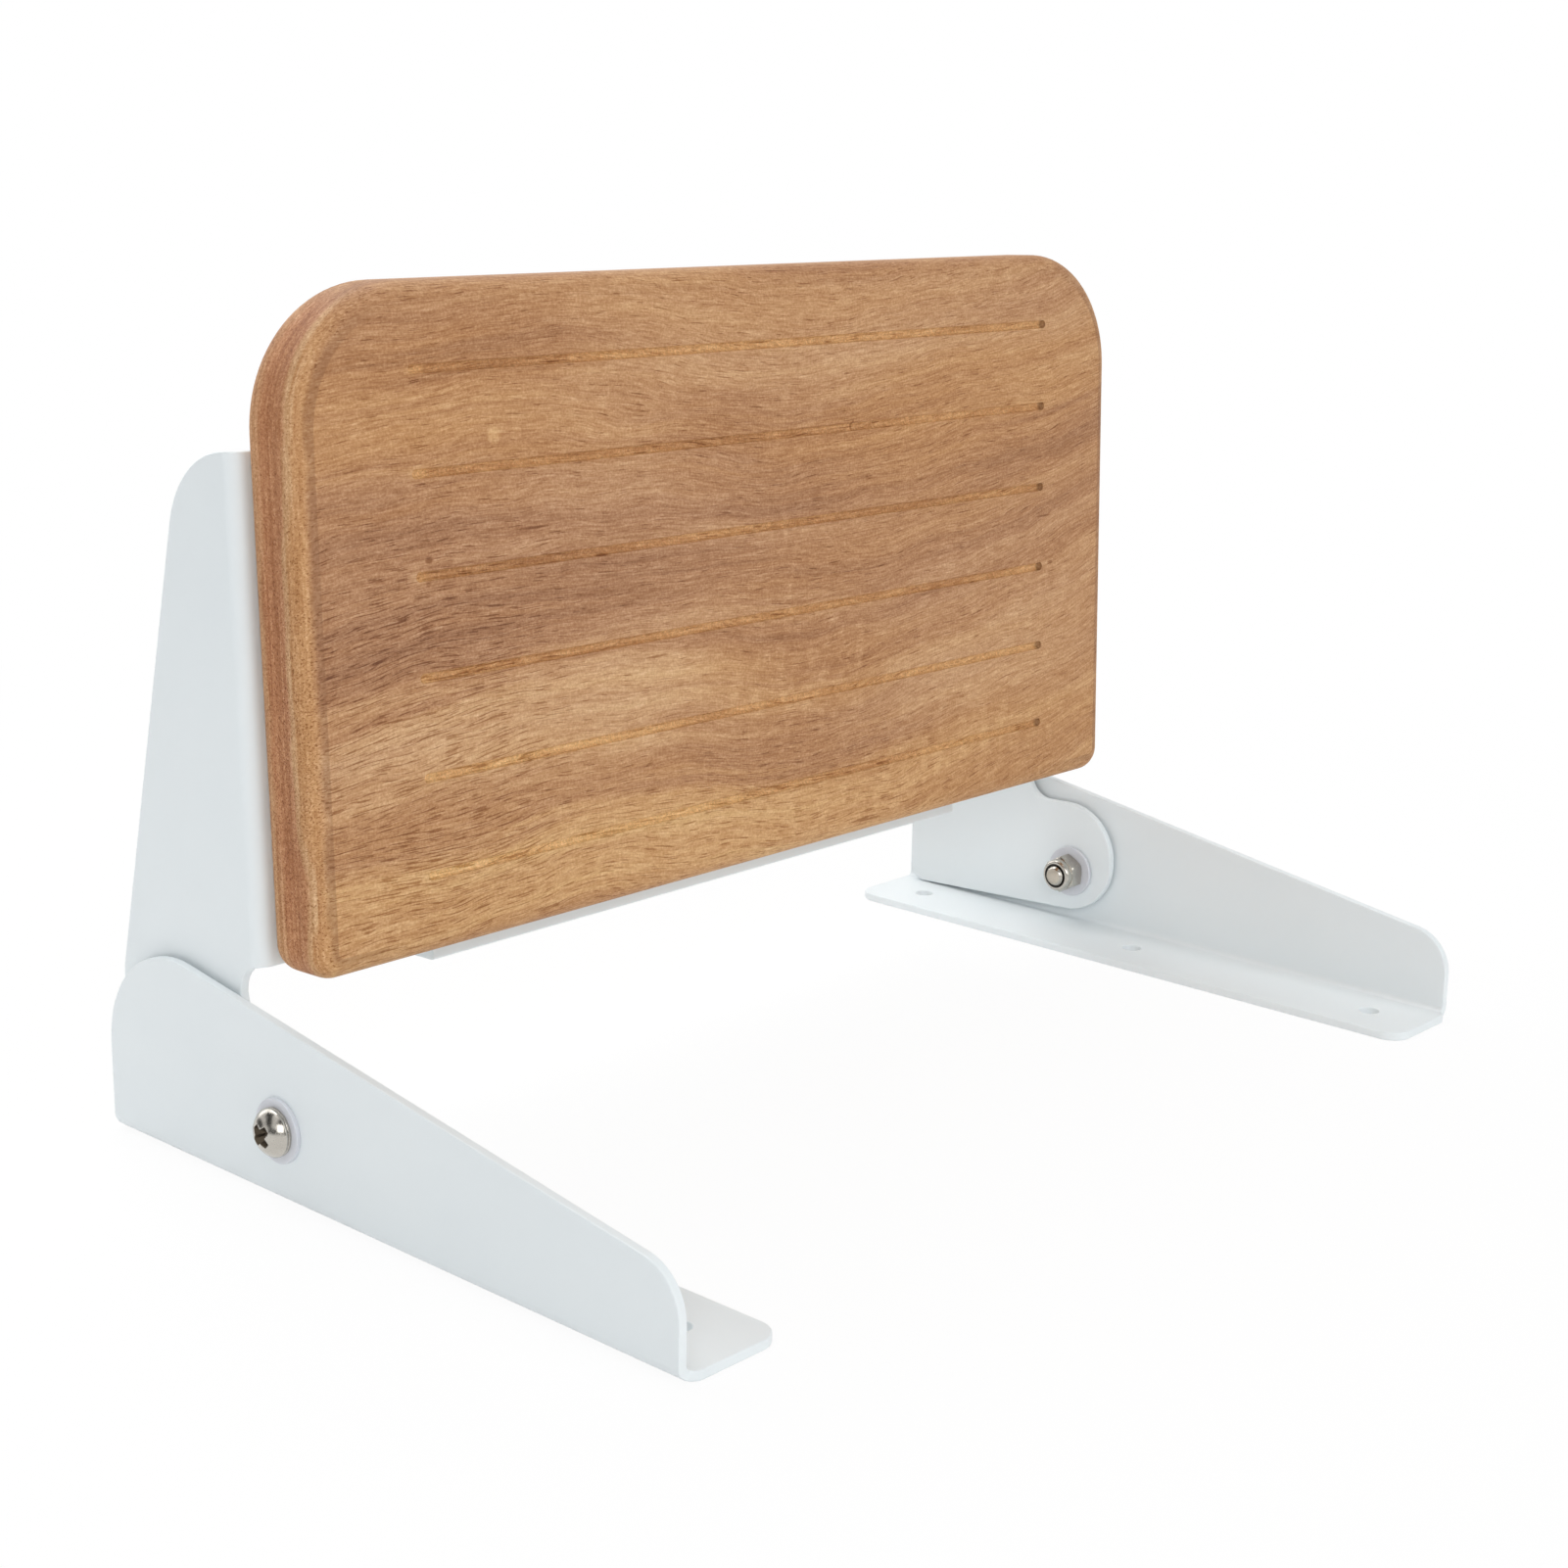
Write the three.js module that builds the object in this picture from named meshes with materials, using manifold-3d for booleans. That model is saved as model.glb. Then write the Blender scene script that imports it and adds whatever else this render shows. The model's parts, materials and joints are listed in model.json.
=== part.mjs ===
// Folding shower seat: a teak board on two bent steel arms, which turn on two bolts between a
// pair of steel wall brackets.
//
// Millimetres. The wall is the plane z = 0 and +Z points out of it. The sitting face looks
// towards -Y, so -Y is up when the seat hangs on a wall. The origin lies on the wall, midway
// between the two brackets and midway along them. The front end of a bracket is its -Y end.

import * as THREE from 'three';
import { mergeVertices } from 'three/addons/utils/BufferGeometryUtils.js';
import Module from 'manifold-3d';

const wasm = await Module();
wasm.setup();

// Driving dimensions

// Steel sheet of the brackets and the arms, and the thickness of the rail
const sheet = 3;
const bendInside = 2;

// Wall brackets: a web that stands out from the wall and a flange that lies on it
const bracketSpan = 400;
const bracketLength = 254;
const flangeWidth = 38;
const flangeCorner = 8;
const webHeightFront = 30.2;
const webHeightRear = 69.7;
const webCornerFront = 16;
const webCornerRear = 35;
const wallHoleDiameter = 7;
const wallHoleFromEnd = 22;
const wallHoleCount = 3;

// Pivot: its place on the brackets, the bolt, the washers and the lock nut
const pivotHeight = 23.5;
const pivotBehindMiddle = 40;
const boltDiameter = 8;
const boltClearance = 0.3;
const boltTipChamfer = 0.9;
const headDiameter = 15.2;
const headHeight = 5.2;
const headRim = 1.5;
const recessLength = 7.6;
const recessWidth = 1.9;
const recessDepth = 2.8;
const washerDiameter = 20;
const washerThickness = 1.5;
const spacerThickness = 1;
const plainWasherDiameter = 15;
const plainWasherThickness = 1;
const runningGap = 0.3;
const nutAcrossFlats = 13;
const nutHexHeight = 6.5;
const nutHeight = 9.5;
const nutChamfer = 0.8;
const collarDiameter = 12.6;
const collarRound = 1.2;
const insertDiameter = 10;
const insertLength = 2.4;
const insertSunk = 0.5;
const threadProud = 1.2;

// Seat board, upright on the arms and leaning back a little past a right angle to the wall
const seatLeanDegrees = 2;
const boardInsideWebs = 7;
const boardDepth = 200;
const boardThickness = 25;
const boardRoundOver = 7.5;
const boardCornerOuter = 42;
const boardCornerInner = 9;
const boardFromPivot = 44.6;
const faceBeforePivot = 14;
const grooveCount = 6;
const grooveFromBoardEdge = 25;
const grooveFromBoardEnd = 41.5;
const grooveWidth = 3;
const grooveDepth = 1.4;

// Seat arms: a side plate with a round ear at the pivot, a heel that rests on the wall
// bracket, and a flange turned in behind the board
const armShortOfBoard = 46.7;
const armFlangeWidth = 45;
const armFlangeCorner = 8;
const armHeelBehindPivot = 83.2;
const armHeelCorner = 6;
const armKneeHeight = 32.4;
const armKneeCorner = 20;
const armTopBehindPivot = 37.6;
const armTopCorner = 30;
const earBeforePivot = 18.8;
const earTop = 27.5;
const earBottom = 15.9;
const earCorner = 21.4;
const notchWidth = 18.4;
const notchEnd = 21.7;
const stopGap = 0.3;

// Rail: a rolled angle along the wall side of the board, between the two arms' flanges, its
// heel nearly sharp and its root filled
const railFromArmFlange = 20.7;
const railHeight = 36;
const railDepth = 22;
const railBelowBoard = 10.8;
const railHeel = 1;
const railRoot = 3;
const railCorner = 6;

// Wood screws that hold the arms and the rail to the board, and what parts them
const screwDiameter = 4;
const screwLength = 18;
const screwTip = 4;
const screwHeadDiameter = 8;
const screwHeadHeight = 2.6;
const screwHeadRim = 0.6;
const screwRecessLength = 4;
const screwRecessWidth = 0.9;
const screwRecessDepth = 1.2;
const screwClearance = 0.3;
const armScrewCount = 3;
const armScrewFromFlangeEnd = 25.85;
const railScrewCount = 3;
const railScrewFromEnd = 30;
const seatGap = 0.3;

// How far a cutter runs past the face that it opens
const overrun = 1;

// How many facets an arc gets: a full circle, a small circle, a wide corner, a narrow one
const roundFacets = 32;
const smallFacets = 16;
const wideFacets = 16;
const cornerFacets = 8;
const edgeFacets = 6;

// Finishes

const teak = () => new THREE.MeshStandardMaterial({ color: 0xb9854f, roughness: 0.6, metalness: 0 });
const whiteCoat = () => new THREE.MeshStandardMaterial({ color: 0xe6eaea, roughness: 0.35, metalness: 0 });
const stainless = () => new THREE.MeshStandardMaterial({ color: 0xb9b4a8, roughness: 0.25, metalness: 1 });
const clearNylon = () => new THREE.MeshStandardMaterial({ color: 0xe2e3ea, roughness: 0.4, metalness: 0 });
const darkNylon = () => new THREE.MeshStandardMaterial({ color: 0x2b2a27, roughness: 0.5, metalness: 0 });

// Shapes and solids

const xAxis = new THREE.Vector3(1, 0, 0);
const yAxis = new THREE.Vector3(0, 1, 0);
const zAxis = new THREE.Vector3(0, 0, 1);

// How a flat drawing, with its depth, is laid in the part: drawn on Y and Z with the depth
// along +X, or drawn on X and Z, as seen from the sitting side, with the depth along -Y
const drawnOnSide = new THREE.Matrix4().makeBasis(yAxis, zAxis, xAxis);
const drawnOnFace = new THREE.Matrix4().makeBasis(xAxis, zAxis, yAxis.clone().negate());

// A closed outline through corners [x, y, radius], each rounded by an arc that touches both
// of its sides. The corners run anticlockwise.
function outline(corners) {
  const shape = new THREE.Shape();
  const count = corners.length;
  for (let i = 0; i < count; i += 1) {
    const [px, py] = corners[(i + count - 1) % count];
    const [cx, cy, radius] = corners[i];
    const [nx, ny] = corners[(i + 1) % count];
    const corner = new THREE.Vector2(cx, cy);
    const back = new THREE.Vector2(px, py).sub(corner).normalize();
    const onward = new THREE.Vector2(nx, ny).sub(corner).normalize();
    if (radius === 0) {
      if (i === 0) shape.moveTo(cx, cy);
      else shape.lineTo(cx, cy);
      continue;
    }
    const half = Math.acos(back.dot(onward)) / 2;
    const start = corner.clone().addScaledVector(back, radius / Math.tan(half));
    const end = corner.clone().addScaledVector(onward, radius / Math.tan(half));
    const middle = back.clone().add(onward).normalize();
    const centre = corner.clone().addScaledVector(middle, radius / Math.sin(half));
    const from = start.clone().sub(centre).angle();
    const to = end.clone().sub(centre).angle();
    const turnsRight = back.cross(onward) > 0;
    if (i === 0) shape.moveTo(start.x, start.y);
    else shape.lineTo(start.x, start.y);
    shape.absarc(centre.x, centre.y, radius, from, to, turnsRight);
  }
  shape.closePath();
  return shape;
}

function rectangle(x0, y0, x1, y1, radius = 0) {
  return outline([[x0, y0, radius], [x1, y0, radius], [x1, y1, radius], [x0, y1, radius]]);
}

// A plate of the drawn shape, each of its arcs in the given number of facets
function plate(shape, depth, laid, facets = cornerFacets) {
  const options = { depth, bevelEnabled: false, curveSegments: facets / 2 };
  const geometry = new THREE.ExtrudeGeometry(shape, options);
  if (laid) geometry.applyMatrix4(laid);
  return geometry;
}

// A round bar, to cut a hole with
function bar(radius, depth, laid, facets = roundFacets) {
  const circle = new THREE.Shape();
  circle.absarc(0, 0, radius, 0, 2 * Math.PI, false);
  return plate(circle, depth, laid, facets);
}

// A turned piece whose axis is X, from a profile of [distance along X, radius]
function turned(profile, facets = roundFacets) {
  const points = profile.map(([along, radius]) => new THREE.Vector2(radius, along));
  const geometry = new THREE.LatheGeometry(points, facets);
  const axisToX = new THREE.Matrix4().makeBasis(yAxis.clone().negate(), xAxis, zAxis);
  return geometry.applyMatrix4(axisToX);
}

// Corner points of a cap's domed top, from its rim to its axis, as [distance along X, radius]
function dome(rimAt, topAt, radius, steps) {
  const profile = [];
  for (let i = 0; i <= steps; i += 1) {
    const angle = (i / steps) * (Math.PI / 2);
    profile.push([rimAt + (topAt - rimAt) * Math.sin(angle), radius * Math.cos(angle)]);
  }
  profile[steps][1] = 0;
  return profile;
}

// The closed solid of a geometry: vertices merged, triangles of no area dropped
function solid(geometry) {
  const bare = geometry.clone();
  bare.deleteAttribute('normal');
  bare.deleteAttribute('uv');
  const merged = mergeVertices(bare);
  const index = merged.getIndex().array;
  const triangles = [];
  for (let i = 0; i < index.length; i += 3) {
    const [a, b, c] = [index[i], index[i + 1], index[i + 2]];
    if (a !== b && b !== c && c !== a) triangles.push(a, b, c);
  }
  return new wasm.Manifold(new wasm.Mesh({
    numProp: 3,
    vertProperties: new Float32Array(merged.getAttribute('position').array),
    triVerts: new Uint32Array(triangles),
  }));
}

function geometryOf(body) {
  const mesh = body.getMesh();
  const positions = new Float32Array(3 * mesh.numVert);
  for (let i = 0; i < mesh.numVert; i += 1) {
    for (let k = 0; k < 3; k += 1) positions[3 * i + k] = mesh.vertProperties[mesh.numProp * i + k];
  }
  const geometry = new THREE.BufferGeometry();
  geometry.setAttribute('position', new THREE.BufferAttribute(positions, 3));
  geometry.setIndex(Array.from(mesh.triVerts));
  geometry.computeVertexNormals();
  return geometry;
}

function moved(geometry, x, y, z) {
  return geometry.clone().translate(x, y, z);
}

// A piece drawn for the right-hand side (+X), or its mirror image for the left-hand side
function onSide(geometry, side) {
  const piece = geometry.clone();
  if (side > 0) return piece;
  piece.scale(-1, 1, 1);
  const index = piece.getIndex();
  for (let i = 0; i < index.count; i += 3) {
    const last = index.getX(i + 2);
    index.setX(i + 2, index.getX(i + 1));
    index.setX(i + 1, last);
  }
  piece.computeVertexNormals();
  return piece;
}

function named(name, geometry, material) {
  const mesh = new THREE.Mesh(geometry, material);
  mesh.name = name;
  return mesh;
}

// Places of a row of equal steps, centred on zero
function centredRow(count, pitch) {
  return Array.from({ length: count }, (_, i) => (i - (count - 1) / 2) * pitch);
}

// Section of an angle: one leg along +x with its outer face on y = 0, the other along +y with
// its outer face on x = 0, and the heel between them at the origin
function angleSection(legX, legY, heel = bendInside + sheet, root = bendInside) {
  return outline([
    [0, 0, heel],
    [legX, 0, 0],
    [legX, sheet, 0],
    [sheet, sheet, root],
    [sheet, legY, 0],
    [0, legY, 0],
  ]);
}

// Places that several pieces share

const webOuter = bracketSpan / 2;
const webInner = webOuter - sheet;
const armOuter = webInner - spacerThickness - runningGap;
const armInner = armOuter - sheet;
const nutWasherOuter = armInner - runningGap;
const nutSeat = nutWasherOuter - washerThickness;
const nutEnd = nutSeat - nutHeight;
const insertOuter = nutEnd + insertSunk;
const insertInner = insertOuter + insertLength;
const boltTip = nutEnd - threadProud;
const plainWasherSeat = webOuter + washerThickness;
const headSeat = plainWasherSeat + plainWasherThickness;
const boltHole = boltDiameter + 2 * boltClearance;
const wallHoleInset = (sheet + flangeWidth) / 2;
const wallHolePitch = (bracketLength - 2 * wallHoleFromEnd) / (wallHoleCount - 1);

const seatLean = THREE.MathUtils.degToRad(seatLeanDegrees);
const boardWidth = bracketSpan - 2 * boardInsideWebs;
const grooveLength = boardWidth - 2 * grooveFromBoardEnd;
const groovePitch = (boardDepth - 2 * grooveFromBoardEdge) / (grooveCount - 1);
const boardBack = boardThickness - faceBeforePivot;
const frameFace = boardBack + seatGap;
const frameBack = frameFace + sheet;
const screwSeat = frameBack + seatGap;
const notchTop = earTop + notchWidth;
const armReach = boardFromPivot + boardDepth - armShortOfBoard;
const armFlangeInner = armOuter - armFlangeWidth;
const armScrewLine = armFlangeInner + (armFlangeWidth - sheet) / 2;
const armScrewPitch = (armReach - notchTop - 2 * armScrewFromFlangeEnd) / (armScrewCount - 1);
const armScrewHeights = centredRow(armScrewCount, armScrewPitch).map((v) => (armReach + notchTop) / 2 + v);
const railLength = 2 * (armFlangeInner - railFromArmFlange);
const railScrewPitch = (railLength - 2 * railScrewFromEnd) / (railScrewCount - 1);
const railBottom = boardFromPivot - railBelowBoard;
const railScrewHeight = (boardFromPivot + railBottom + railHeight) / 2;

// Wall bracket

// The web's outline and the flange's, both drawn with the bracket's front end at zero
function wallBracket() {
  const section = angleSection(flangeWidth, webHeightRear + overrun);
  const drawnOnEnd = new THREE.Matrix4().makeBasis(xAxis.clone().negate(), zAxis, yAxis);
  const bent = plate(section, bracketLength, drawnOnEnd);
  const web = outline([
    [0, 0, 0],
    [bracketLength, 0, 0],
    [bracketLength, webHeightRear, webCornerRear],
    [0, webHeightFront, webCornerFront],
  ]);
  const flange = outline([
    [0, 0, flangeCorner],
    [flangeWidth + overrun, 0, 0],
    [flangeWidth + overrun, bracketLength, 0],
    [0, bracketLength, flangeCorner],
  ]);
  const webCut = moved(plate(web, flangeWidth + 2 * overrun, drawnOnSide, wideFacets),
    -flangeWidth - overrun, 0, 0);
  const flangeCut = moved(plate(flange, webHeightRear + 2 * overrun), -flangeWidth, 0, -overrun);
  let body = solid(bent).intersect(solid(webCut)).intersect(solid(flangeCut));
  for (const along of centredRow(wallHoleCount, wallHolePitch)) {
    const hole = bar(wallHoleDiameter / 2, sheet + 2 * overrun);
    body = body.subtract(solid(moved(hole, -wallHoleInset, bracketLength / 2 + along, -overrun)));
  }
  const pivotHole = bar(boltHole / 2, sheet + 2 * overrun, drawnOnSide);
  const pivotAlong = bracketLength / 2 + pivotBehindMiddle;
  body = body.subtract(solid(moved(pivotHole, -sheet - overrun, pivotAlong, pivotHeight)));
  return moved(geometryOf(body), webOuter, -bracketLength / 2, 0);
}

// Seat arm, drawn about the pivot with the board's face looking to -Y

// The heel's lowest point comes down on the wall bracket's flange when the seat is down
function armOutline() {
  const heelCentreY = armHeelBehindPivot - armHeelCorner;
  const heelDrop = pivotHeight - sheet - stopGap - armHeelCorner - heelCentreY * Math.sin(seatLean);
  const heelBottom = -heelDrop / Math.cos(seatLean) - armHeelCorner;
  const notchCorner = notchWidth / 2;
  return outline([
    [frameFace, notchTop, 0],
    [notchEnd, notchTop, notchCorner],
    [notchEnd, earTop, notchCorner],
    [-earBeforePivot, earTop, earCorner],
    [-earBeforePivot, -earBottom, earCorner],
    [armHeelBehindPivot, heelBottom, armHeelCorner],
    [armHeelBehindPivot, armKneeHeight, armKneeCorner],
    [armTopBehindPivot, armReach, armTopCorner],
    [frameFace, armReach, 0],
  ]);
}

// The flange behind the board, its free corners rounded, and the side plate's full height
function armFrontOutline() {
  const bendEdge = armInner - bendInside;
  return outline([
    [armFlangeInner, notchTop, armFlangeCorner],
    [bendEdge, notchTop, 0],
    [bendEdge, -earTop, 0],
    [armOuter + overrun, -earTop, 0],
    [armOuter + overrun, armReach + overrun, 0],
    [bendEdge, armReach + overrun, 0],
    [bendEdge, armReach, 0],
    [armFlangeInner, armReach, armFlangeCorner],
  ]);
}

function seatArm() {
  const notchMiddle = (notchTop + earTop) / 2;
  const plateReach = armHeelBehindPivot + overrun - frameFace;
  const bent = plate(angleSection(armFlangeWidth, plateReach), armReach + overrun - notchMiddle,
    new THREE.Matrix4().makeBasis(xAxis.clone().negate(), yAxis, zAxis.clone().negate()));
  const bentAtBoard = moved(bent, armOuter, frameFace, armReach + overrun);
  const lowerHeight = earTop + notchTop;
  const lowerLength = armHeelBehindPivot + earBeforePivot + 2 * overrun;
  const lower = moved(plate(rectangle(0, 0, lowerLength, lowerHeight), sheet, drawnOnSide),
    armInner, -earBeforePivot - overrun, -earTop);
  const sideCut = moved(plate(armOutline(), armFlangeWidth + 2 * overrun, drawnOnSide, wideFacets),
    armFlangeInner - overrun, 0, 0);
  const faceCut = moved(plate(armFrontOutline(), lowerLength + 2 * overrun, drawnOnFace),
    0, armHeelBehindPivot + 2 * overrun, 0);
  let body = solid(bentAtBoard).add(solid(lower)).intersect(solid(sideCut)).intersect(solid(faceCut));
  const pivotHole = moved(bar(boltHole / 2, sheet + 2 * overrun, drawnOnSide), armInner - overrun, 0, 0);
  body = body.subtract(solid(pivotHole));
  for (const height of armScrewHeights) body = body.subtract(solid(screwHole(armScrewLine, height)));
  return geometryOf(body);
}

// Rail

function seatRail() {
  const section = angleSection(railDepth, railHeight, railHeel, railRoot);
  const angle = moved(plate(section, railLength, drawnOnSide), -railLength / 2, frameFace, railBottom);
  const half = railLength / 2;
  const upright = outline([
    [-half, railBottom - overrun, 0],
    [half, railBottom - overrun, 0],
    [half, railBottom + railHeight, railCorner],
    [-half, railBottom + railHeight, railCorner],
  ]);
  const lip = outline([
    [-half, frameFace - overrun, 0],
    [half, frameFace - overrun, 0],
    [half, frameFace + railDepth, railCorner],
    [-half, frameFace + railDepth, railCorner],
  ]);
  const uprightCut = moved(plate(upright, railDepth + 2 * overrun, drawnOnFace),
    0, frameFace + railDepth + overrun, 0);
  const lipCut = moved(plate(lip, railHeight + 2 * overrun), 0, 0, railBottom - overrun);
  let body = solid(angle).intersect(solid(uprightCut)).intersect(solid(lipCut));
  for (const x of centredRow(railScrewCount, railScrewPitch)) {
    body = body.subtract(solid(screwHole(x, railScrewHeight)));
  }
  return geometryOf(body);
}

// Board

function screwHole(x, height) {
  const radius = screwDiameter / 2 + screwClearance;
  const depth = sheet + 2 * overrun;
  return moved(bar(radius, depth, drawnOnFace, smallFacets), x, frameBack + overrun, height);
}

function boardOutline() {
  const half = boardWidth / 2 - boardRoundOver;
  const low = boardFromPivot + boardRoundOver;
  const high = boardFromPivot + boardDepth - boardRoundOver;
  const inner = boardCornerInner - boardRoundOver;
  const outer = boardCornerOuter - boardRoundOver;
  return outline([[-half, low, inner], [half, low, inner], [half, high, outer], [-half, high, outer]]);
}

function seatBoard() {
  const blank = new THREE.ExtrudeGeometry(boardOutline(), {
    depth: boardThickness - 2 * boardRoundOver,
    curveSegments: wideFacets / 2,
    bevelSize: boardRoundOver,
    bevelThickness: boardRoundOver,
    bevelSegments: edgeFacets,
  });
  blank.applyMatrix4(drawnOnFace);
  let body = solid(moved(blank, 0, boardBack - boardRoundOver, 0));
  const middle = boardFromPivot + boardDepth / 2;
  const grooveRadius = grooveWidth / 2;
  const groove = rectangle(-grooveLength / 2, -grooveRadius, grooveLength / 2, grooveRadius, grooveRadius);
  const cutter = plate(groove, grooveDepth + overrun, drawnOnFace, cornerFacets);
  for (const height of centredRow(grooveCount, groovePitch)) {
    body = body.subtract(solid(moved(cutter, 0, grooveDepth - faceBeforePivot, middle + height)));
  }
  const holeDepth = screwLength - sheet - seatGap + screwClearance;
  const hole = bar(screwDiameter / 2 + screwClearance, holeDepth + overrun, drawnOnFace, smallFacets);
  for (const [x, height] of screwPlaces()) {
    body = body.subtract(solid(moved(hole, x, boardBack + overrun, height)));
  }
  return geometryOf(body);
}

// Places of every wood screw on the board's back, as [x, height over the pivot]
function screwPlaces() {
  const places = centredRow(railScrewCount, railScrewPitch).map((x) => [x, railScrewHeight]);
  for (const height of armScrewHeights) {
    places.push([-armScrewLine, height], [armScrewLine, height]);
  }
  return places;
}

// Fasteners, each with its axis on X and its head towards +X

// A cross cut into the top of a head, its wings on the diagonals
function crossRecess(top, length, width, depth) {
  const wing = plate(rectangle(-length / 2, -width / 2, length / 2, width / 2), depth + overrun, drawnOnSide);
  wing.rotateX(Math.PI / 4);
  const crossed = wing.clone().rotateX(Math.PI / 2);
  return solid(moved(wing, top - depth, 0, 0)).add(solid(moved(crossed, top - depth, 0, 0)));
}

function pivotBolt() {
  const radius = boltDiameter / 2;
  const headRadius = headDiameter / 2;
  const profile = [
    [boltTip, 0],
    [boltTip, radius - boltTipChamfer],
    [boltTip + boltTipChamfer, radius],
    [headSeat, radius],
    [headSeat, headRadius],
    ...dome(headSeat + headRim, headSeat + headHeight, headRadius, cornerFacets),
  ];
  const recess = crossRecess(headSeat + headHeight, recessLength, recessWidth, recessDepth);
  return geometryOf(solid(turned(profile)).subtract(recess));
}

function woodScrew() {
  const radius = screwDiameter / 2;
  const headRadius = screwHeadDiameter / 2;
  const profile = [
    [-screwLength, 0],
    [screwTip - screwLength, radius],
    [0, radius],
    [0, headRadius],
    ...dome(screwHeadRim, screwHeadHeight, headRadius, edgeFacets),
  ];
  const recess = crossRecess(screwHeadHeight, screwRecessLength, screwRecessWidth, screwRecessDepth);
  return geometryOf(solid(turned(profile, smallFacets)).subtract(recess));
}

// A flat ring round the axis
function ring(inner, outer, from, to) {
  return turned([[from, inner], [to, inner], [to, outer], [from, outer], [from, inner]].reverse());
}

// A washer round the bolt, between two places along it
function flatWasher(from, to, diameter = washerDiameter) {
  return geometryOf(solid(ring(boltHole / 2, diameter / 2, from, to)));
}

// Hexagon with its corners chamfered at the seat, a round collar over the nylon insert, and a
// bore that clears the bolt. Its seat looks to +X.
function lockNut() {
  const cornerRadius = nutAcrossFlats / Math.sqrt(3);
  const hexagon = new THREE.Shape();
  for (let i = 0; i < 6; i += 1) {
    const angle = (i * Math.PI) / 3;
    if (i === 0) hexagon.moveTo(cornerRadius, 0);
    else hexagon.lineTo(cornerRadius * Math.cos(angle), cornerRadius * Math.sin(angle));
  }
  hexagon.closePath();
  const collarRadius = collarDiameter / 2;
  const hexEnd = nutSeat - nutHexHeight;
  const hex = solid(moved(plate(hexagon, nutHexHeight, drawnOnSide), hexEnd, 0, 0));
  const chamfered = solid(turned([
    [hexEnd - overrun, 0],
    [hexEnd - overrun, collarRadius],
    [hexEnd, collarRadius],
    [hexEnd + nutChamfer, cornerRadius],
    [nutSeat - nutChamfer, cornerRadius],
    [nutSeat, cornerRadius - nutChamfer],
    [nutSeat, 0],
  ]));
  const collar = solid(turned([
    [nutEnd, 0],
    [nutEnd, collarRadius - collarRound],
    [nutEnd + collarRound, collarRadius],
    [hexEnd + overrun, collarRadius],
    [hexEnd + overrun, 0],
  ]));
  const bore = solid(turned([
    [nutEnd - overrun, 0],
    [nutEnd - overrun, insertDiameter / 2 + runningGap],
    [insertInner + runningGap, insertDiameter / 2 + runningGap],
    [insertInner + runningGap, boltHole / 2],
    [nutSeat + overrun, boltHole / 2],
    [nutSeat + overrun, 0],
  ]));
  return geometryOf(hex.intersect(chamfered).add(collar).subtract(bore));
}

function nutInsert() {
  return geometryOf(solid(ring(boltHole / 2, insertDiameter / 2, insertOuter, insertInner)));
}

// The whole seat

const seat = new THREE.Group();
seat.position.set(0, pivotBehindMiddle, pivotHeight);
seat.rotation.x = -seatLean;
seat.add(named('seat_board', seatBoard(), teak()));
seat.add(named('seat_rail', seatRail(), whiteCoat()));

const pivots = new THREE.Group();
pivots.position.set(0, pivotBehindMiddle, pivotHeight);

const foldingSeat = new THREE.Group();
foldingSeat.add(seat, pivots);

for (const [hand, side] of [['left', -1], ['right', 1]]) {
  foldingSeat.add(named(`${hand}_wall_bracket`, onSide(wallBracket(), side), whiteCoat()));
  seat.add(named(`${hand}_seat_arm`, onSide(seatArm(), side), whiteCoat()));
  const pivotPieces = [
    ['pivot_bolt', pivotBolt(), stainless()],
    ['plain_washer', flatWasher(plainWasherSeat, headSeat, plainWasherDiameter), stainless()],
    ['head_washer', flatWasher(webOuter, plainWasherSeat), clearNylon()],
    ['spacer_washer', flatWasher(webInner - spacerThickness, webInner), clearNylon()],
    ['nut_washer', flatWasher(nutSeat, nutWasherOuter), clearNylon()],
    ['lock_nut', lockNut(), stainless()],
    ['nut_insert', nutInsert(), darkNylon()],
  ];
  for (const [name, geometry, material] of pivotPieces) {
    pivots.add(named(`${hand}_${name}`, onSide(geometry, side), material));
  }
}

// Wood screws stand in the board's back with their heads towards +Y
const groups = [
  ['left_arm_screw', armScrewHeights.map((height) => [-armScrewLine, height])],
  ['right_arm_screw', armScrewHeights.map((height) => [armScrewLine, height])],
  ['rail_screw', centredRow(railScrewCount, railScrewPitch).map((x) => [x, railScrewHeight])],
];
for (const [name, places] of groups) {
  places.forEach(([x, height], i) => {
    const screw = named(`${name}_${i + 1}`, woodScrew(), stainless());
    screw.position.set(x, screwSeat, height);
    screw.rotation.z = Math.PI / 2;
    seat.add(screw);
  });
}

export default foldingSeat;
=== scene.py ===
import json
import math

import bmesh
import bpy
from mathutils import Matrix, Vector


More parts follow.
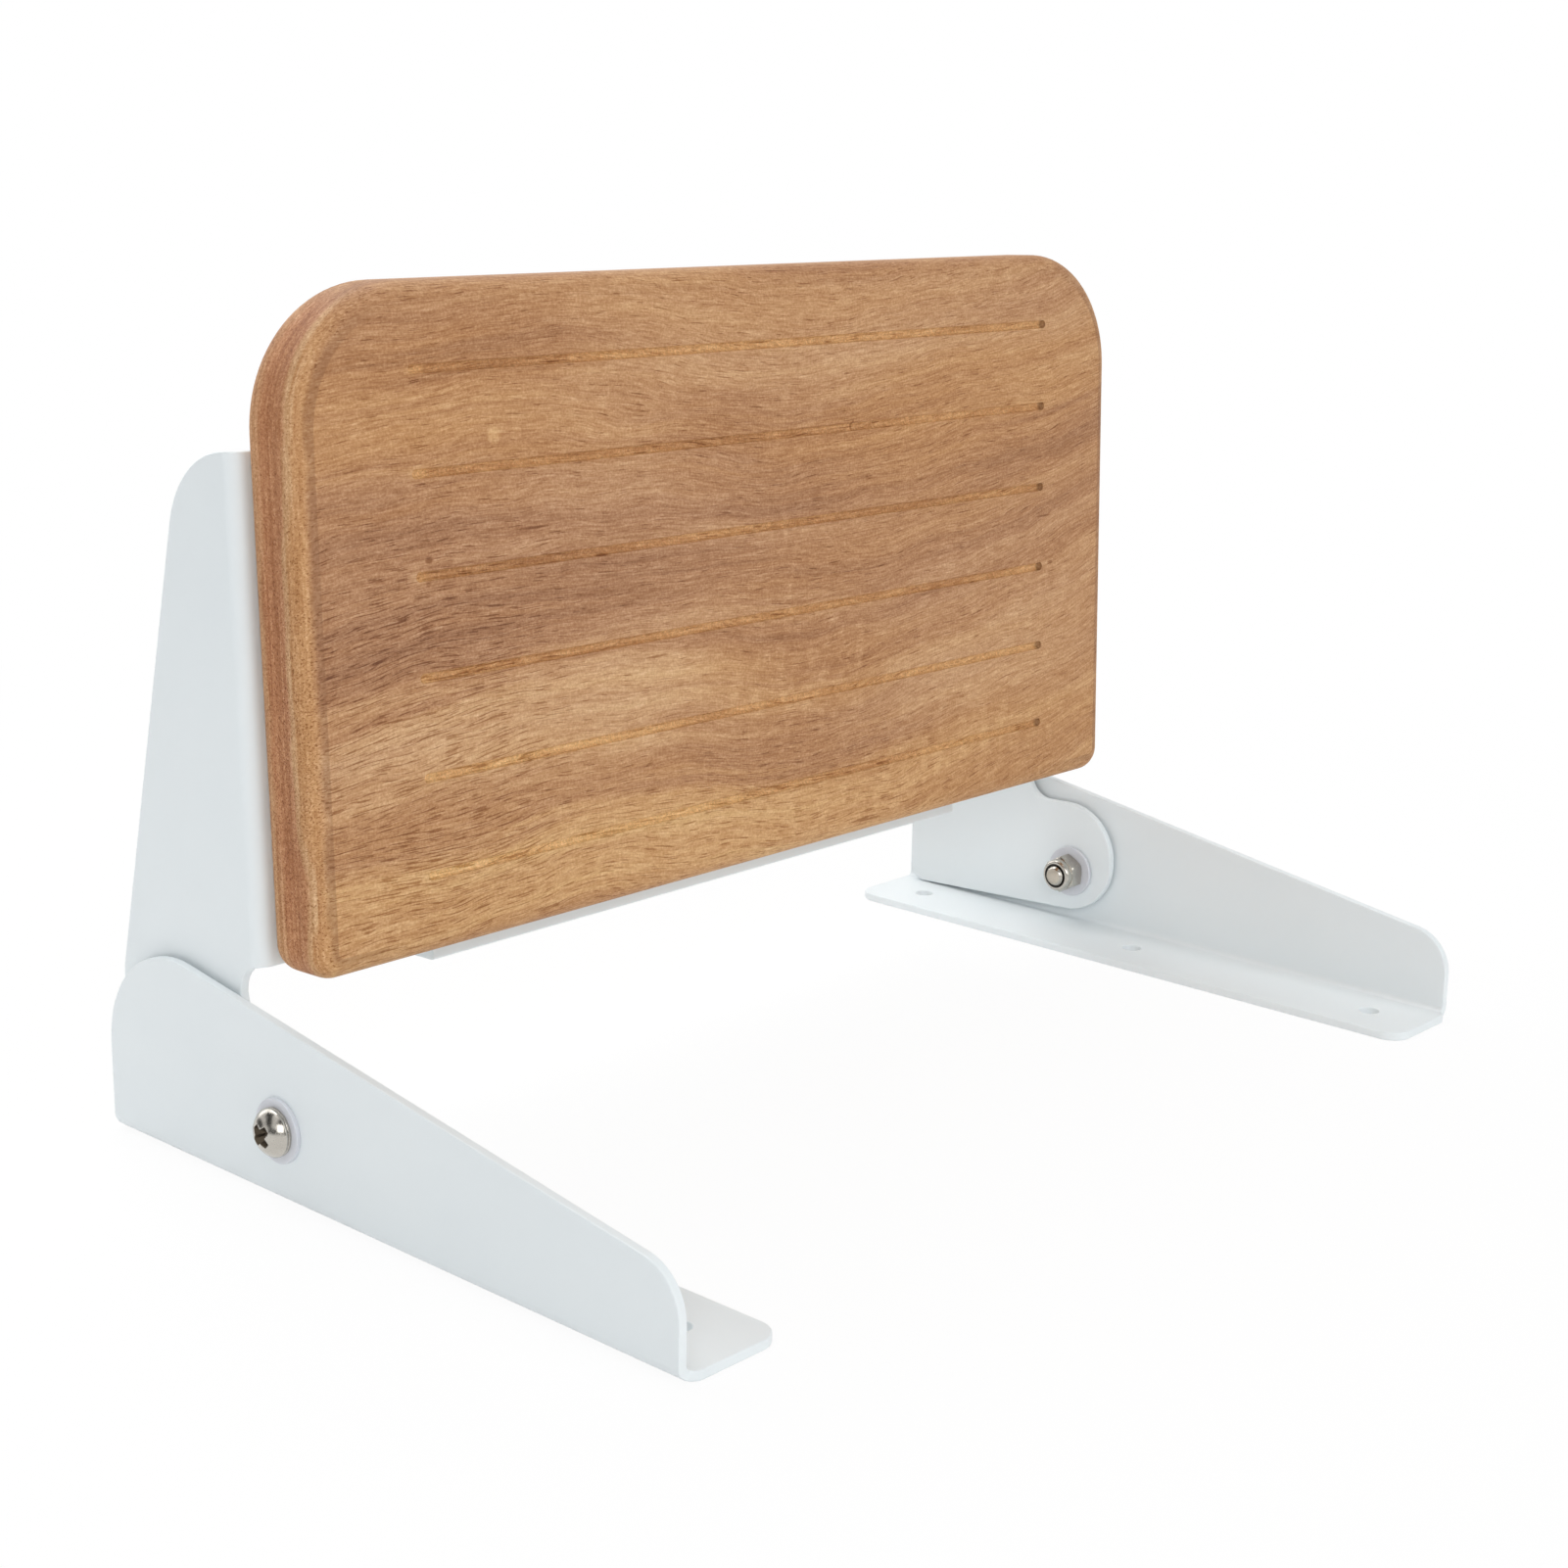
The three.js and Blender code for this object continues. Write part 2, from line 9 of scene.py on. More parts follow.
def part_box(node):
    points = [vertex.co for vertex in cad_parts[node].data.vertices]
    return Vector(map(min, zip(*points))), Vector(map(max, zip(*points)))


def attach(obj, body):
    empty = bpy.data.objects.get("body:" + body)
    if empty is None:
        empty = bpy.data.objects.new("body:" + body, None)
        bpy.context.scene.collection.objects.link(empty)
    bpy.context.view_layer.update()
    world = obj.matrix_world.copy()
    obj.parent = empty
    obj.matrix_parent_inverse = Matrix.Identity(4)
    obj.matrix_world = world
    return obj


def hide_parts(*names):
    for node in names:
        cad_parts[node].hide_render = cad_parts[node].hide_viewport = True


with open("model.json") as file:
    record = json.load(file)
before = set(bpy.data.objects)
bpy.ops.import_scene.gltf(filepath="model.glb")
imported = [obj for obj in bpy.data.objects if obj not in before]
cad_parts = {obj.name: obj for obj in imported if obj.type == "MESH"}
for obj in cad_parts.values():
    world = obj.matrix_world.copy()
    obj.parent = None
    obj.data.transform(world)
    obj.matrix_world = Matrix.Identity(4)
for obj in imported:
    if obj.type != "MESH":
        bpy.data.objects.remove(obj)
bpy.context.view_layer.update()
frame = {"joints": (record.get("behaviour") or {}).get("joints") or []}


# Wall brackets
# Two handed brackets of 3 mm mild steel. Each is laser-cut from sheet, its edges are eased by
# tumbling, it is folded once on a press brake and then powder coated white all over. The front end
# of its web is set back a little from the flange's.

MM = 0.001
sheet_thickness = 3 * MM
bend_inside_radius = 2 * MM
bend_outside_radius = bend_inside_radius + sheet_thickness
bend_length = math.pi / 2 * (bend_inside_radius + sheet_thickness / 2)
bend_strips = 14
eased_edge = 0.45 * MM
ease_steps = 3

web_height_front = 30.2 * MM
web_height_rear = 69.7 * MM
web_corner_front = 16 * MM
web_corner_rear = 35 * MM
web_set_back = 1.9 * MM
web_step_round = 1 * MM
flange_corner = 8 * MM
wall_hole_radius = 3.5 * MM
wall_hole_pitch = 105 * MM

pivot = Vector(frame["joints"][0]["pos_m"])
pivot_hole_radius = 4.3 * MM


def rounded_outline(corners, step=math.radians(5)):
    """Points of a closed anticlockwise outline through corners (x, y, radius)."""
    points = []
    for i, (x, y, radius) in enumerate(corners):
        corner = Vector((x, y))
        back = (Vector(corners[i - 1][:2]) - corner).normalized()
        onward = (Vector(corners[(i + 1) % len(corners)][:2]) - corner).normalized()
        if radius == 0:
            points.append(corner)
            continue
        half = math.acos(max(-1, min(1, back.dot(onward)))) / 2
        centre = corner + (back + onward).normalized() * (radius / math.sin(half))
        start = corner + back * (radius / math.tan(half)) - centre
        sweep = math.pi - 2 * half
        if back.x * onward.y - back.y * onward.x > 0:
            sweep = -sweep
        pieces = max(2, math.ceil(abs(sweep) / step))
        for k in range(pieces + 1):
            turn = Matrix.Rotation(sweep * k / pieces, 2)
            points.append(centre + turn @ start)
    return points


def circle(x, y, radius, pieces=48):
    """Points of a hole's rim, clockwise, so that its material lies on its left."""
    angles = [-2 * math.pi * k / pieces for k in range(pieces)]
    return [Vector((x + radius * math.cos(a), y + radius * math.sin(a))) for a in angles]


def quarter_turn(steps):
    """Angles in even steps from 0 to 90 degrees."""
    return [math.pi / 2 * k / steps for k in range(steps + 1)]


def moved_inward(points, distance):
    """The loop moved to its left, into the material, by a distance."""
    moved = []
    for i, point in enumerate(points):
        before = (point - points[i - 1]).normalized()
        after = (points[(i + 1) % len(points)] - point).normalized()
        left = Vector((-before.y - after.y, before.x + after.x)).normalized()
        mitre = max(0.5, math.sqrt((1 + before.dot(after)) / 2))
        moved.append(point + left * (distance / mitre))
    return moved


def skin(made, rings):
    """Joins each ring of vertices to the next with faces. A ring of one vertex is a pole."""
    for a, b in zip(rings, rings[1:]):
        for i in range(max(len(a), len(b))):
            corners = (a[(i - 1) % len(a)], b[(i - 1) % len(b)], b[i % len(b)], a[i % len(a)])
            made.faces.new(list(dict.fromkeys(corners)))


def flat_blank(outline, holes):
    """A cut blank of sheet, centred on z = 0, with the edges of its outline and holes eased."""
    blank = bmesh.new()
    shoulder = sheet_thickness / 2 - eased_edge
    upper = [(eased_edge - eased_edge * math.sin(a), shoulder + eased_edge * math.cos(a))
             for a in quarter_turn(ease_steps)]
    section = upper + [(inset, -height) for inset, height in reversed(upper)]
    face_edges = {0: [], len(section) - 1: []}
    for loop in [outline] + holes:
        rings = [[blank.verts.new((*p, height)) for p in moved_inward(loop, inset)]
                 for inset, height in section]
        skin(blank, rings)
        for level, edges in face_edges.items():
            ring = rings[level]
            edges += [blank.edges.get((ring[i - 1], ring[i])) for i in range(len(ring))]
    for edges in face_edges.values():
        bmesh.ops.triangle_fill(blank, use_beauty=True, use_dissolve=False, edges=edges)
    return blank


def fold(blank, start, folds=lambda along: True):
    """Folds the blank up by 90 degrees past x = start. Where folds(y) is false it is left in the
    plane of the raised leg, as an ear cut free of the bend."""
    for k in range(bend_strips + 1):
        everything = blank.verts[:] + blank.edges[:] + blank.faces[:]
        line = (start + bend_length * k / bend_strips, 0, 0)
        bmesh.ops.bisect_plane(blank, geom=everything, dist=1e-7, plane_co=line, plane_no=(1, 0, 0))
    centre = sheet_thickness / 2 + bend_inside_radius
    for vert in blank.verts:
        across, along, height = vert.co
        turn = (across - start) / bend_length * math.pi / 2
        radius = centre - height
        if not folds(along) or turn > math.pi / 2:
            vert.co = (start + radius, along, centre + across - start - bend_length)
        elif turn > 0:
            vert.co = (start + radius * math.sin(turn), along, centre - radius * math.cos(turn))


def finished(name, made, material, place=Matrix(), sharp=35, mirrored=False):
    """Makes an object of a bmesh: placed, mirrored in x if it is a left-hand piece, and smooth but
    for edges of more than so many degrees, with its flat faces kept flat by weighted normals."""
    made.transform(place)
    if mirrored:
        made.transform(Matrix.Scale(-1, 4, (1, 0, 0)))
    bmesh.ops.recalc_face_normals(made, faces=made.faces)
    mesh = bpy.data.meshes.new(name)
    made.to_mesh(mesh)
    mesh.shade_smooth()
    mesh.set_sharp_from_angle(angle=math.radians(sharp))
    mesh.materials.append(material)
    piece = bpy.data.objects.new(name, mesh)
    bpy.context.scene.collection.objects.link(piece)
    weighted = piece.modifiers.new("weighted_normals", "WEIGHTED_NORMAL")
    weighted.keep_sharp = True
    return piece


def linear(colour):
    """An sRGB hex colour as the linear RGBA that shader sockets take."""
    channels = [int(colour[i:i + 2], 16) / 255 for i in (1, 3, 5)]
    return [c / 12.92 if c <= 0.04045 else ((c + 0.055) / 1.055) ** 2.4 for c in channels] + [1]


def add(tree, kind, inputs=None, **settings):
    """Adds a shader node with its settings. Each input, by name or number, is set to a value, or
    linked to a socket or to a node's first output."""
    made = tree.nodes.new("ShaderNode" + kind)
    for setting, value in settings.items():
        setattr(made, setting, value)
    for key, value in (inputs or {}).items():
        if isinstance(value, bpy.types.Node):
            value = value.outputs[0]
        if isinstance(value, bpy.types.NodeSocket):
            tree.links.new(value, made.inputs[key])
        else:
            made.inputs[key].default_value = value
    return made


def new_material(name):
    """An empty node material and its tree."""
    material = bpy.data.materials.new(name)
    material.use_nodes = True
    material.node_tree.nodes.clear()
    return material, material.node_tree


def millimetres(tree):
    """A piece's own coordinates in mm. A noise of scale 1 / size there has humps of that size."""
    place = add(tree, "TexCoord").outputs["Object"]
    return add(tree, "VectorMath", {0: place, "Scale": 1 / MM}, operation="SCALE")


def grained(name, grain, shades, relief, finish, cloud=None, gloss=None):
    """A material with a fine grain (mm from hump to hump, detail, ruggedness), which gives its
    relief (strength, height) and, where gloss is given, its least and greatest roughness. Its two
    shades follow the grain, or a broader cloud. finish holds what is the same all over."""
    material, tree = new_material(name)
    place = millimetres(tree)
    noises = [add(tree, "TexNoise", {"Vector": place, "Scale": 1 / size, "Detail": detail,
                  "Roughness": ruggedness})
              for size, detail, ruggedness in filter(None, (grain, cloud))]
    fine, broad = noises[0], noises[-1]
    tone = add(tree, "Mix", {"Factor": broad, "A": linear(shades[0]), "B": linear(shades[1])},
               data_type="RGBA")
    bump = add(tree, "Bump", {"Height": fine, "Strength": relief[0], "Distance": relief[1]})
    if gloss:
        rough = add(tree, "MapRange", {0: fine, 1: 0.3, 2: 0.7, 3: gloss[0], 4: gloss[1]})
        finish = {**finish, "Roughness": rough}
    shader = add(tree, "BsdfPrincipled", {"Base Color": tone.outputs["Result"], "Normal": bump,
                 **finish})
    add(tree, "OutputMaterial", {"Surface": shader})
    return material


def polyester_powder_coat():
    """White polyester powder, baked at 0.08 mm: satin, very slightly cool, with the faint orange
    peel of powder that has flowed out, 1.2 mm from hump to hump."""
    return grained("polyester_powder_coat_white", grain=(1.2, 2.0, 0.5), cloud=(45, 3.0, 0.6),
                   shades=("#e9eff1", "#e3eaed"), relief=(0.12, 0.05 * MM), gloss=(0.36, 0.44),
                   finish={"IOR": 1.5})


white_coat = polyester_powder_coat()


def wall_bracket(hand):
    low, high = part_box("right_wall_bracket")
    length = high[1] - low[1]
    flange_width = high[0] - low[0]
    fold_start = flange_width - bend_outside_radius
    web_foot = fold_start + bend_length - bend_outside_radius
    hole_line = (flange_width - sheet_thickness) / 2
    outline = rounded_outline([
        (0, 0, flange_corner),
        (fold_start - web_step_round, 0, web_step_round),
        (fold_start + bend_length / 3, web_set_back, web_step_round),
        (web_foot + web_height_front, web_set_back, web_corner_front),
        (web_foot + web_height_rear, length, web_corner_rear),
        (0, length, flange_corner),
    ])
    holes = [circle(hole_line, length / 2 + k * wall_hole_pitch, wall_hole_radius)
             for k in (-1, 0, 1)]
    holes.append(circle(web_foot + pivot.z, pivot.y - low[1], pivot_hole_radius))
    blank = flat_blank(outline, holes)
    fold(blank, fold_start)
    place = Matrix.Translation((low[0], low[1], sheet_thickness / 2))
    piece = finished(hand + "_bracket_coated", blank, white_coat, place, mirrored=hand == "left")
    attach(piece, "wall_frame")
    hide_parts(hand + "_wall_bracket")


wall_bracket("left")
wall_bracket("right")


# Seat arms
# Two handed arms of the same sheet: a side plate with a round ear at the pivot and a heel that
# stops on the bracket, and a flange folded in behind the board. A round notch ends the fold.

seat_lean = math.radians(2)
seat_frame = Matrix.Translation(pivot) @ Matrix.Rotation(-seat_lean, 4, "X")
running_gap = 0.3 * MM
board_thickness = 25 * MM
face_before_pivot = 14 * MM
frame_face = board_thickness - face_before_pivot + running_gap

arm_flange_width = 45 * MM
arm_flange_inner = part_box("right_seat_arm")[1][0] - arm_flange_width
arm_flange_corner = 8 * MM
arm_reach = 197.9 * MM
arm_heel_behind = 83.2 * MM
arm_heel_corner = 6 * MM
arm_knee_height = 32.4 * MM
arm_knee_corner = 20 * MM
arm_top_behind = 37.6 * MM
arm_top_corner = 30 * MM
ear_before = 18.8 * MM
ear_top = 27.5 * MM
ear_bottom = 15.9 * MM
ear_corner = 21.4 * MM
notch_width = 18.4 * MM
notch_end = 21.7 * MM
notch_top = ear_top + notch_width
notch_middle = (notch_top + ear_top) / 2

arm_screw_pitch = 50.15 * MM
arm_screw_heights = [(arm_reach + notch_top) / 2 + k * arm_screw_pitch for k in (-1, 0, 1)]
arm_screw_inset = (arm_flange_width - sheet_thickness) / 2
screw_hole_radius = 2.3 * MM
screw_hole_pieces = 32


def heel_bottom():
    """How far the heel's corner lies over the pivot, so that the heel just clears the flange."""
    centre = arm_heel_behind - arm_heel_corner
    drop = pivot.z - sheet_thickness - running_gap - arm_heel_corner - centre * math.sin(seat_lean)
    return -drop / math.cos(seat_lean) - arm_heel_corner


def seat_arm(hand):
    fold_start = arm_flange_width - bend_outside_radius
    plate_foot = fold_start + bend_length - bend_outside_radius - frame_face
    outline = rounded_outline([
        (0, notch_top, arm_flange_corner),
        (plate_foot + notch_end, notch_top, notch_width / 2),
        (plate_foot + notch_end, ear_top, notch_width / 2),
        (plate_foot - ear_before, ear_top, ear_corner),
        (plate_foot - ear_before, -ear_bottom, ear_corner),
        (plate_foot + arm_heel_behind, heel_bottom(), arm_heel_corner),
        (plate_foot + arm_heel_behind, arm_knee_height, arm_knee_corner),
        (plate_foot + arm_top_behind, arm_reach, arm_top_corner),
        (0, arm_reach, arm_flange_corner),
    ])
    holes = [circle(plate_foot, 0, pivot_hole_radius)]
    holes += [circle(arm_screw_inset, height, screw_hole_radius, screw_hole_pieces)
              for height in arm_screw_heights]
    blank = flat_blank(outline, holes)
    fold(blank, fold_start, lambda along: along > notch_middle)
    # The blank stands up along the board's back, with its plate folded away from the board
    place = Matrix((
        (1, 0, 0, arm_flange_inner),
        (0, 0, 1, frame_face + sheet_thickness / 2),
        (0, 1, 0, 0),
        (0, 0, 0, 1),
    ))
    piece = finished(hand + "_arm_coated", blank, white_coat, seat_frame @ place,
                     mirrored=hand == "left")
    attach(piece, "seat")
    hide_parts(hand + "_seat_arm")


seat_arm("left")
seat_arm("right")


# Seat rail
# A length of hot-rolled steel angle, 36 x 22 x 3 mm, sawn off, its corners rounded and coated like
# the rest. It is screwed to the back of the board along its lower edge, and shows under it.

rail_length = 260 * MM
rail_height = 36 * MM
rail_depth = 22 * MM
rail_corner = 6 * MM
rail_heel = 1 * MM
rail_root = 3 * MM
rail_tip = 0.6 * MM
rail_screw_pitch = 100 * MM
board_from_pivot = 44.6 * MM
rail_below_board = 10.8 * MM
rail_bottom = board_from_pivot - rail_below_board
rail_screw_height = (board_from_pivot + rail_bottom + rail_height) / 2
cut_past = 1 * MM


def loft(sections):
    """A solid through loops of points, with a face on its first and its last one."""
    made = bmesh.new()
    rings = [[made.verts.new(p) for p in section] for section in sections]
    skin(made, rings)
    made.faces.new(rings[0])
    made.faces.new(rings[-1])
    return made


def prism(points, low, high, lay):
    """A solid between two parallel copies of a loop. lay(u, v, depth) places its corners."""
    return loft([[lay(u, v, depth) for u, v in points] for depth in (low, high)])


def combine(piece, others, operation, sharp=35):
    """Cuts the other solids from the piece, or keeps only what lies inside them. It removes them
    and marks the sharp edges anew."""
    for other in others:
        boolean = piece.modifiers.new("boolean", "BOOLEAN")
        boolean.operation = operation
        boolean.solver = "EXACT"
        boolean.object = other
        boolean.material_mode = "TRANSFER"
        with bpy.context.temp_override(object=piece, active_object=piece, selected_objects=[piece]):
            bpy.ops.object.modifier_move_to_index(modifier="boolean", index=0)
            bpy.ops.object.modifier_apply(modifier="boolean")
        bpy.data.objects.remove(other)
    piece.data.set_sharp_from_angle(angle=math.radians(sharp))


def seat_rail():
    half = rail_length / 2
    face = frame_face - cut_past
    back = frame_face + rail_depth
    lip_top = rail_bottom + sheet_thickness
    leg_back = frame_face + sheet_thickness
    bottom = rail_bottom - cut_past
    top = rail_bottom + rail_height
    section = rounded_outline([
        (frame_face, rail_bottom, rail_heel),
        (back, rail_bottom, rail_tip),
        (back, lip_top, rail_tip),
        (leg_back, lip_top, rail_root),
        (leg_back, top, rail_tip),
        (frame_face, top, rail_tip),
    ], step=math.radians(15))
    angle = prism(section, -half, half, lambda u, v, depth: (depth, u, v))
    piece = finished("rail_coated", angle, white_coat)
    # Its corners are rounded as seen face on and from above, and then the holes are drilled
    upright = rounded_outline([(-half, bottom, 0), (half, bottom, 0), (half, top, rail_corner),
                               (-half, top, rail_corner)])
    lip = rounded_outline([(-half, face, 0), (half, face, 0), (half, back, rail_corner),
                           (-half, back, rail_corner)])
    face_on = prism(upright, face, back + cut_past, lambda u, v, depth: (u, depth, v))
    from_above = prism(lip, bottom, top + cut_past, lambda u, v, depth: (u, v, depth))
    shapes = [finished("rounding", shape, white_coat) for shape in (face_on, from_above)]
    combine(piece, shapes, "INTERSECT")
    holes = []
    for k in (-1, 0, 1):
        rim = circle(k * rail_screw_pitch, rail_screw_height, screw_hole_radius, screw_hole_pieces)
        hole = prism(rim, face, leg_back + cut_past, lambda u, v, depth: (u, depth, v))
        holes.append(finished("screw_hole", hole, white_coat))
    combine(piece, holes, "DIFFERENCE")
    piece.data.transform(seat_frame)
    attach(piece, "seat")
    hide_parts("seat_rail")


seat_rail()


# Pivot bolts
# M8 pan-head screws of A2 stainless, cold headed, tumbled bright, with a punched cross recess.
# Each passes a bracket and an arm and ends just past its lock nut. A small plain washer of the
# same steel lies under its head.

head_radius = 7.6 * MM
head_rim = 0.6 * MM
head_ease = 0.35 * MM
head_sphere = 0.75
shank_radius = 4 * MM
thread_pitch = 1.25 * MM
thread_depth = 0.6 * MM
thread_turns = 9
crest_half = 0.1 * MM
tip_chamfer = 0.9 * MM
bolt_recess = (8.2 * MM, 3.6 * MM, 3.4 * MM)
bolt_recess_turn = math.radians(45)
washer_ease = 0.2 * MM
pivot_line = Matrix.Translation((0, pivot.y, pivot.z))


def turned(profile, segments=96, closed=False, made=None):
    """A turned solid round the x axis, from (place along x, radius), or one more in a mesh that is
    being made. A radius of 0 is a pole, and a closed profile makes a ring."""
    made = made or bmesh.new()
    rings = []
    for along, radius in profile:
        if radius == 0:
            rings.append([made.verts.new((along, 0, 0))])
            continue
        angles = [2 * math.pi * k / segments for k in range(segments)]
        rings.append([made.verts.new((along, radius * math.cos(a), radius * math.sin(a)))
                      for a in angles])
    skin(made, rings + rings[:1] if closed else rings)
    return made


def dome(rim, top, radius, steps, sphere=0.0):
    """Profile of a cap's crown from its rim to its pole: a quarter of an ellipse, or, as sphere
    goes to 1, ever more the cap of a sphere."""
    rise = top - rim
    ball = (radius ** 2 + rise ** 2) / (2 * rise)
    crown = []
    for a in quarter_turn(steps)[:-1]:
        out = radius * math.cos(a)
        on_ball = math.sqrt(ball ** 2 - out ** 2) - (ball - rise)
        crown.append((rim + (1 - sphere) * rise * math.sin(a) + sphere * on_ball, out))
    return crown + [(top, 0)]


def bright_stainless():
    """A2 stainless, cold formed and tumbled: a warm grey mirror clouded by fine tumbling marks,
    drawn 0.5 mm apart, which is coarser than they are."""
    return grained("stainless_a2_tumbled", grain=(0.5, 4.0, 0.6), cloud=(4, 2.0, 0.5),
                   shades=("#b5b0a7", "#c8c4bc"), relief=(0.15, 0.02 * MM), gloss=(0.16, 0.3),
                   finish={"Metallic": 1.0})


def recess_shade_stainless():
    """The bottom of a punched recess: dull, smeared by the punch in grains 0.4 mm apart, and
    painted dark brown as the shade inside the recess."""
    return grained("stainless_a2_recess_shade", grain=(0.4, 3.0, 0.6), shades=("#433c33", "#74695a"),
                   relief=(0.3, 0.05 * MM), finish={"Metallic": 1.0, "Roughness": 0.5})


def sheared_stainless():
    """The bolt's end, sheared off the wire: paler and duller than the rest, its torn grain drawn
    0.4 mm apart."""
    return grained("stainless_a2_sheared", grain=(0.4, 3.0, 0.6), shades=("#bfb5a6", "#d6cdc0"),
                   relief=(0.25, 0.04 * MM), finish={"Metallic": 1.0, "Roughness": 0.5})


stainless = bright_stainless()
# punched is the recess material, whose dark colour is painted shade.
punched = recess_shade_stainless()
sheared = sheared_stainless()


def cross_recess(top, length, width, depth, turn, place, mirrored=False):
    """Cutters of a cross recess: two wings that narrow to their ends and to the bottom, and the
    round pit between them. They start above the head, at 1.15 of their size there."""
    mouth = top + cut_past
    cutters = []
    # Wings and pit carry the recess's painted shade onto the faces they cut.
    for k in (0, 1):
        sections = []
        for along, size in ((mouth, 1.15), (top - depth, 0.5)):
            tip, end, waist = length / 2 * size, width * 0.34 * size, width / 2 * size
            plan = ((-tip, -end), (0, -waist), (tip, -end), (tip, end), (0, waist), (-tip, end))
            sections.append([(along, u, v) for u, v in plan])
        spun = place @ Matrix.Rotation(turn + k * math.pi / 2, 4, "X")
        cutters.append(finished("recess_wing", loft(sections), punched, spun, mirrored=mirrored))
    pit = [(top - depth * 1.2, 0), (top - depth, width * 0.35), (mouth, width * 0.75), (mouth, 0)]
    cutters.append(finished("recess_pit", turned(pit, 32), punched, place, mirrored=mirrored))
    return cutters


def pivot_bolt(hand):
    mirrored = hand == "left"
    low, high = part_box("right_pivot_bolt")
    tip, top = low[0], high[0]
    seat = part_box("right_plain_washer")[1][0]
    root_radius = shank_radius - thread_depth
    thread_start = tip + tip_chamfer / 2
    profile = [(tip, 0), (tip, shank_radius - tip_chamfer), (thread_start, root_radius)]
    for k in range(thread_turns):
        root = thread_start + k * thread_pitch
        crest = root + thread_pitch / 2
        profile += [(crest - crest_half, shank_radius), (crest + crest_half, shank_radius),
                    (root + thread_pitch, root_radius)]
    profile += [(tip + (thread_turns + 1) * thread_pitch, shank_radius), (seat, shank_radius),
                (seat, head_radius - head_ease),
                (seat + head_ease / 3, head_radius - head_ease / 3),
                (seat + head_ease, head_radius)]
    profile += dome(seat + head_rim, top, head_radius, 20, head_sphere)
    made = turned(profile)
    # The flat end, where the wire was sheared, has its own material
    for face in made.faces:
        if face.calc_center_median().x < tip + 0.01 * MM:
            face.material_index = 1
    piece = finished(hand + "_bolt_bright", made, stainless, pivot_line, mirrored=mirrored)
    piece.data.materials.append(sheared)
    recess = cross_recess(top, *bolt_recess, bolt_recess_turn, pivot_line, mirrored)
    combine(piece, recess, "DIFFERENCE")
    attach(piece, "wall_frame")
    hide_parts(hand + "_pivot_bolt")


def pivot_washer(hand, kind, material):
    low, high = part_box("right_" + kind)
    outer = (high[1] - low[1]) / 2
    ease = min(washer_ease, (high[0] - low[0]) / 3)
    section = rounded_outline([
        (low[0], pivot_hole_radius, ease), (high[0], pivot_hole_radius, ease),
        (high[0], outer, ease), (low[0], outer, ease)], step=math.radians(30))
    piece = finished(hand + "_" + kind + "_stamped", turned(section, closed=True), material,
                     pivot_line, mirrored=hand == "left")
    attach(piece, "wall_frame")
    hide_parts(hand + "_" + kind)


pivot_bolt("left")
pivot_bolt("right")
pivot_washer("left", "plain_washer", stainless)
pivot_washer("right", "plain_washer", stainless)


# Nylon washers
# Three to a pivot, stamped from natural nylon sheet: under the bolt's head, between bracket and
# arm, and under the nut. They keep steel off steel and give the fold its friction.

def natural_nylon():
    """Undyed nylon 66: milky, slightly bluish, lit from within, with a satin moulded skin whose
    grain is drawn 0.4 mm apart."""
    return grained("nylon_66_natural", grain=(0.4, 3.0, 0.55), shades=("#dadce2", "#cfd2d9"),
                   relief=(0.1, 0.03 * MM),
                   finish={"Roughness": 0.38, "IOR": 1.53, "Subsurface Weight": 0.35,
                           "Subsurface Radius": (1.2, 1.2, 1.2), "Subsurface Scale": 1 * MM})


nylon = natural_nylon()

for washer_kind in ("head_washer", "spacer_washer", "nut_washer"):
    pivot_washer("left", washer_kind, nylon)
    pivot_washer("right", washer_kind, nylon)


# Lock nuts
# M8 nuts of A2 stainless, cold formed hexagons with both ends chamfered. A collar is rolled over
# a ring of dark nylon, which grips the thread so that the pivot can be set and stays set.

nut_across_flats = 13 * MM
nut_hex_height = 6.5 * MM
nut_chamfer_slope = math.tan(math.radians(30))
nut_face_share = 0.99
nut_segments = 120
nut_sharp = 28
collar_radius = 6.3 * MM
collar_round = 1.4 * MM
collar_overlap = 0.5 * MM
collar_lip = 0.2 * MM
collar_lip_round = 0.25 * MM
insert_bore_round = 0.3 * MM
insert_rim_round = 0.5 * MM


def black_nylon():
    """Nylon coloured near black, cut by the thread it grips: matt, with torn grain 0.3 mm apart."""
    return grained("nylon_66_dark", grain=(0.3, 3.0, 0.6), shades=("#26221f", "#3a3531"),
                   relief=(0.3, 0.05 * MM), finish={"Roughness": 0.5, "IOR": 1.53})


dark_nylon = black_nylon()


def hexagon_solid(seat, end, bore):
    """The chamfered hexagon, as a tube whose outer radius is the lesser of hexagon and cones. Its
    rings lie closer together towards its ends, where the cones round its corners off."""
    made = bmesh.new()
    corner = nut_across_flats / math.sqrt(3)
    flat = nut_across_flats / 2
    angles = [2 * math.pi * k / nut_segments for k in range(nut_segments)]
    rings = []
    for share in (0, 0.05, 0.1, 0.15, 0.2, 0.3, 0.5, 0.7, 0.8, 0.85, 0.9, 0.95, 1):
        along = seat + (end - seat) * share
        from_end = min(abs(along - seat), abs(end - along))
        cone = flat * nut_face_share + from_end / nut_chamfer_slope
        ring = []
        for a in angles:
            to_flat = (a + math.pi / 6) % (math.pi / 3) - math.pi / 6
            radius = min(flat / math.cos(to_flat), corner, cone)
            ring.append(made.verts.new((along, radius * math.cos(a), radius * math.sin(a))))
        rings.append(ring)
    for along in (end, seat):
        rings.append([made.verts.new((along, bore * math.cos(a), bore * math.sin(a)))
                      for a in angles])
    skin(made, rings + rings[:1])
    return made


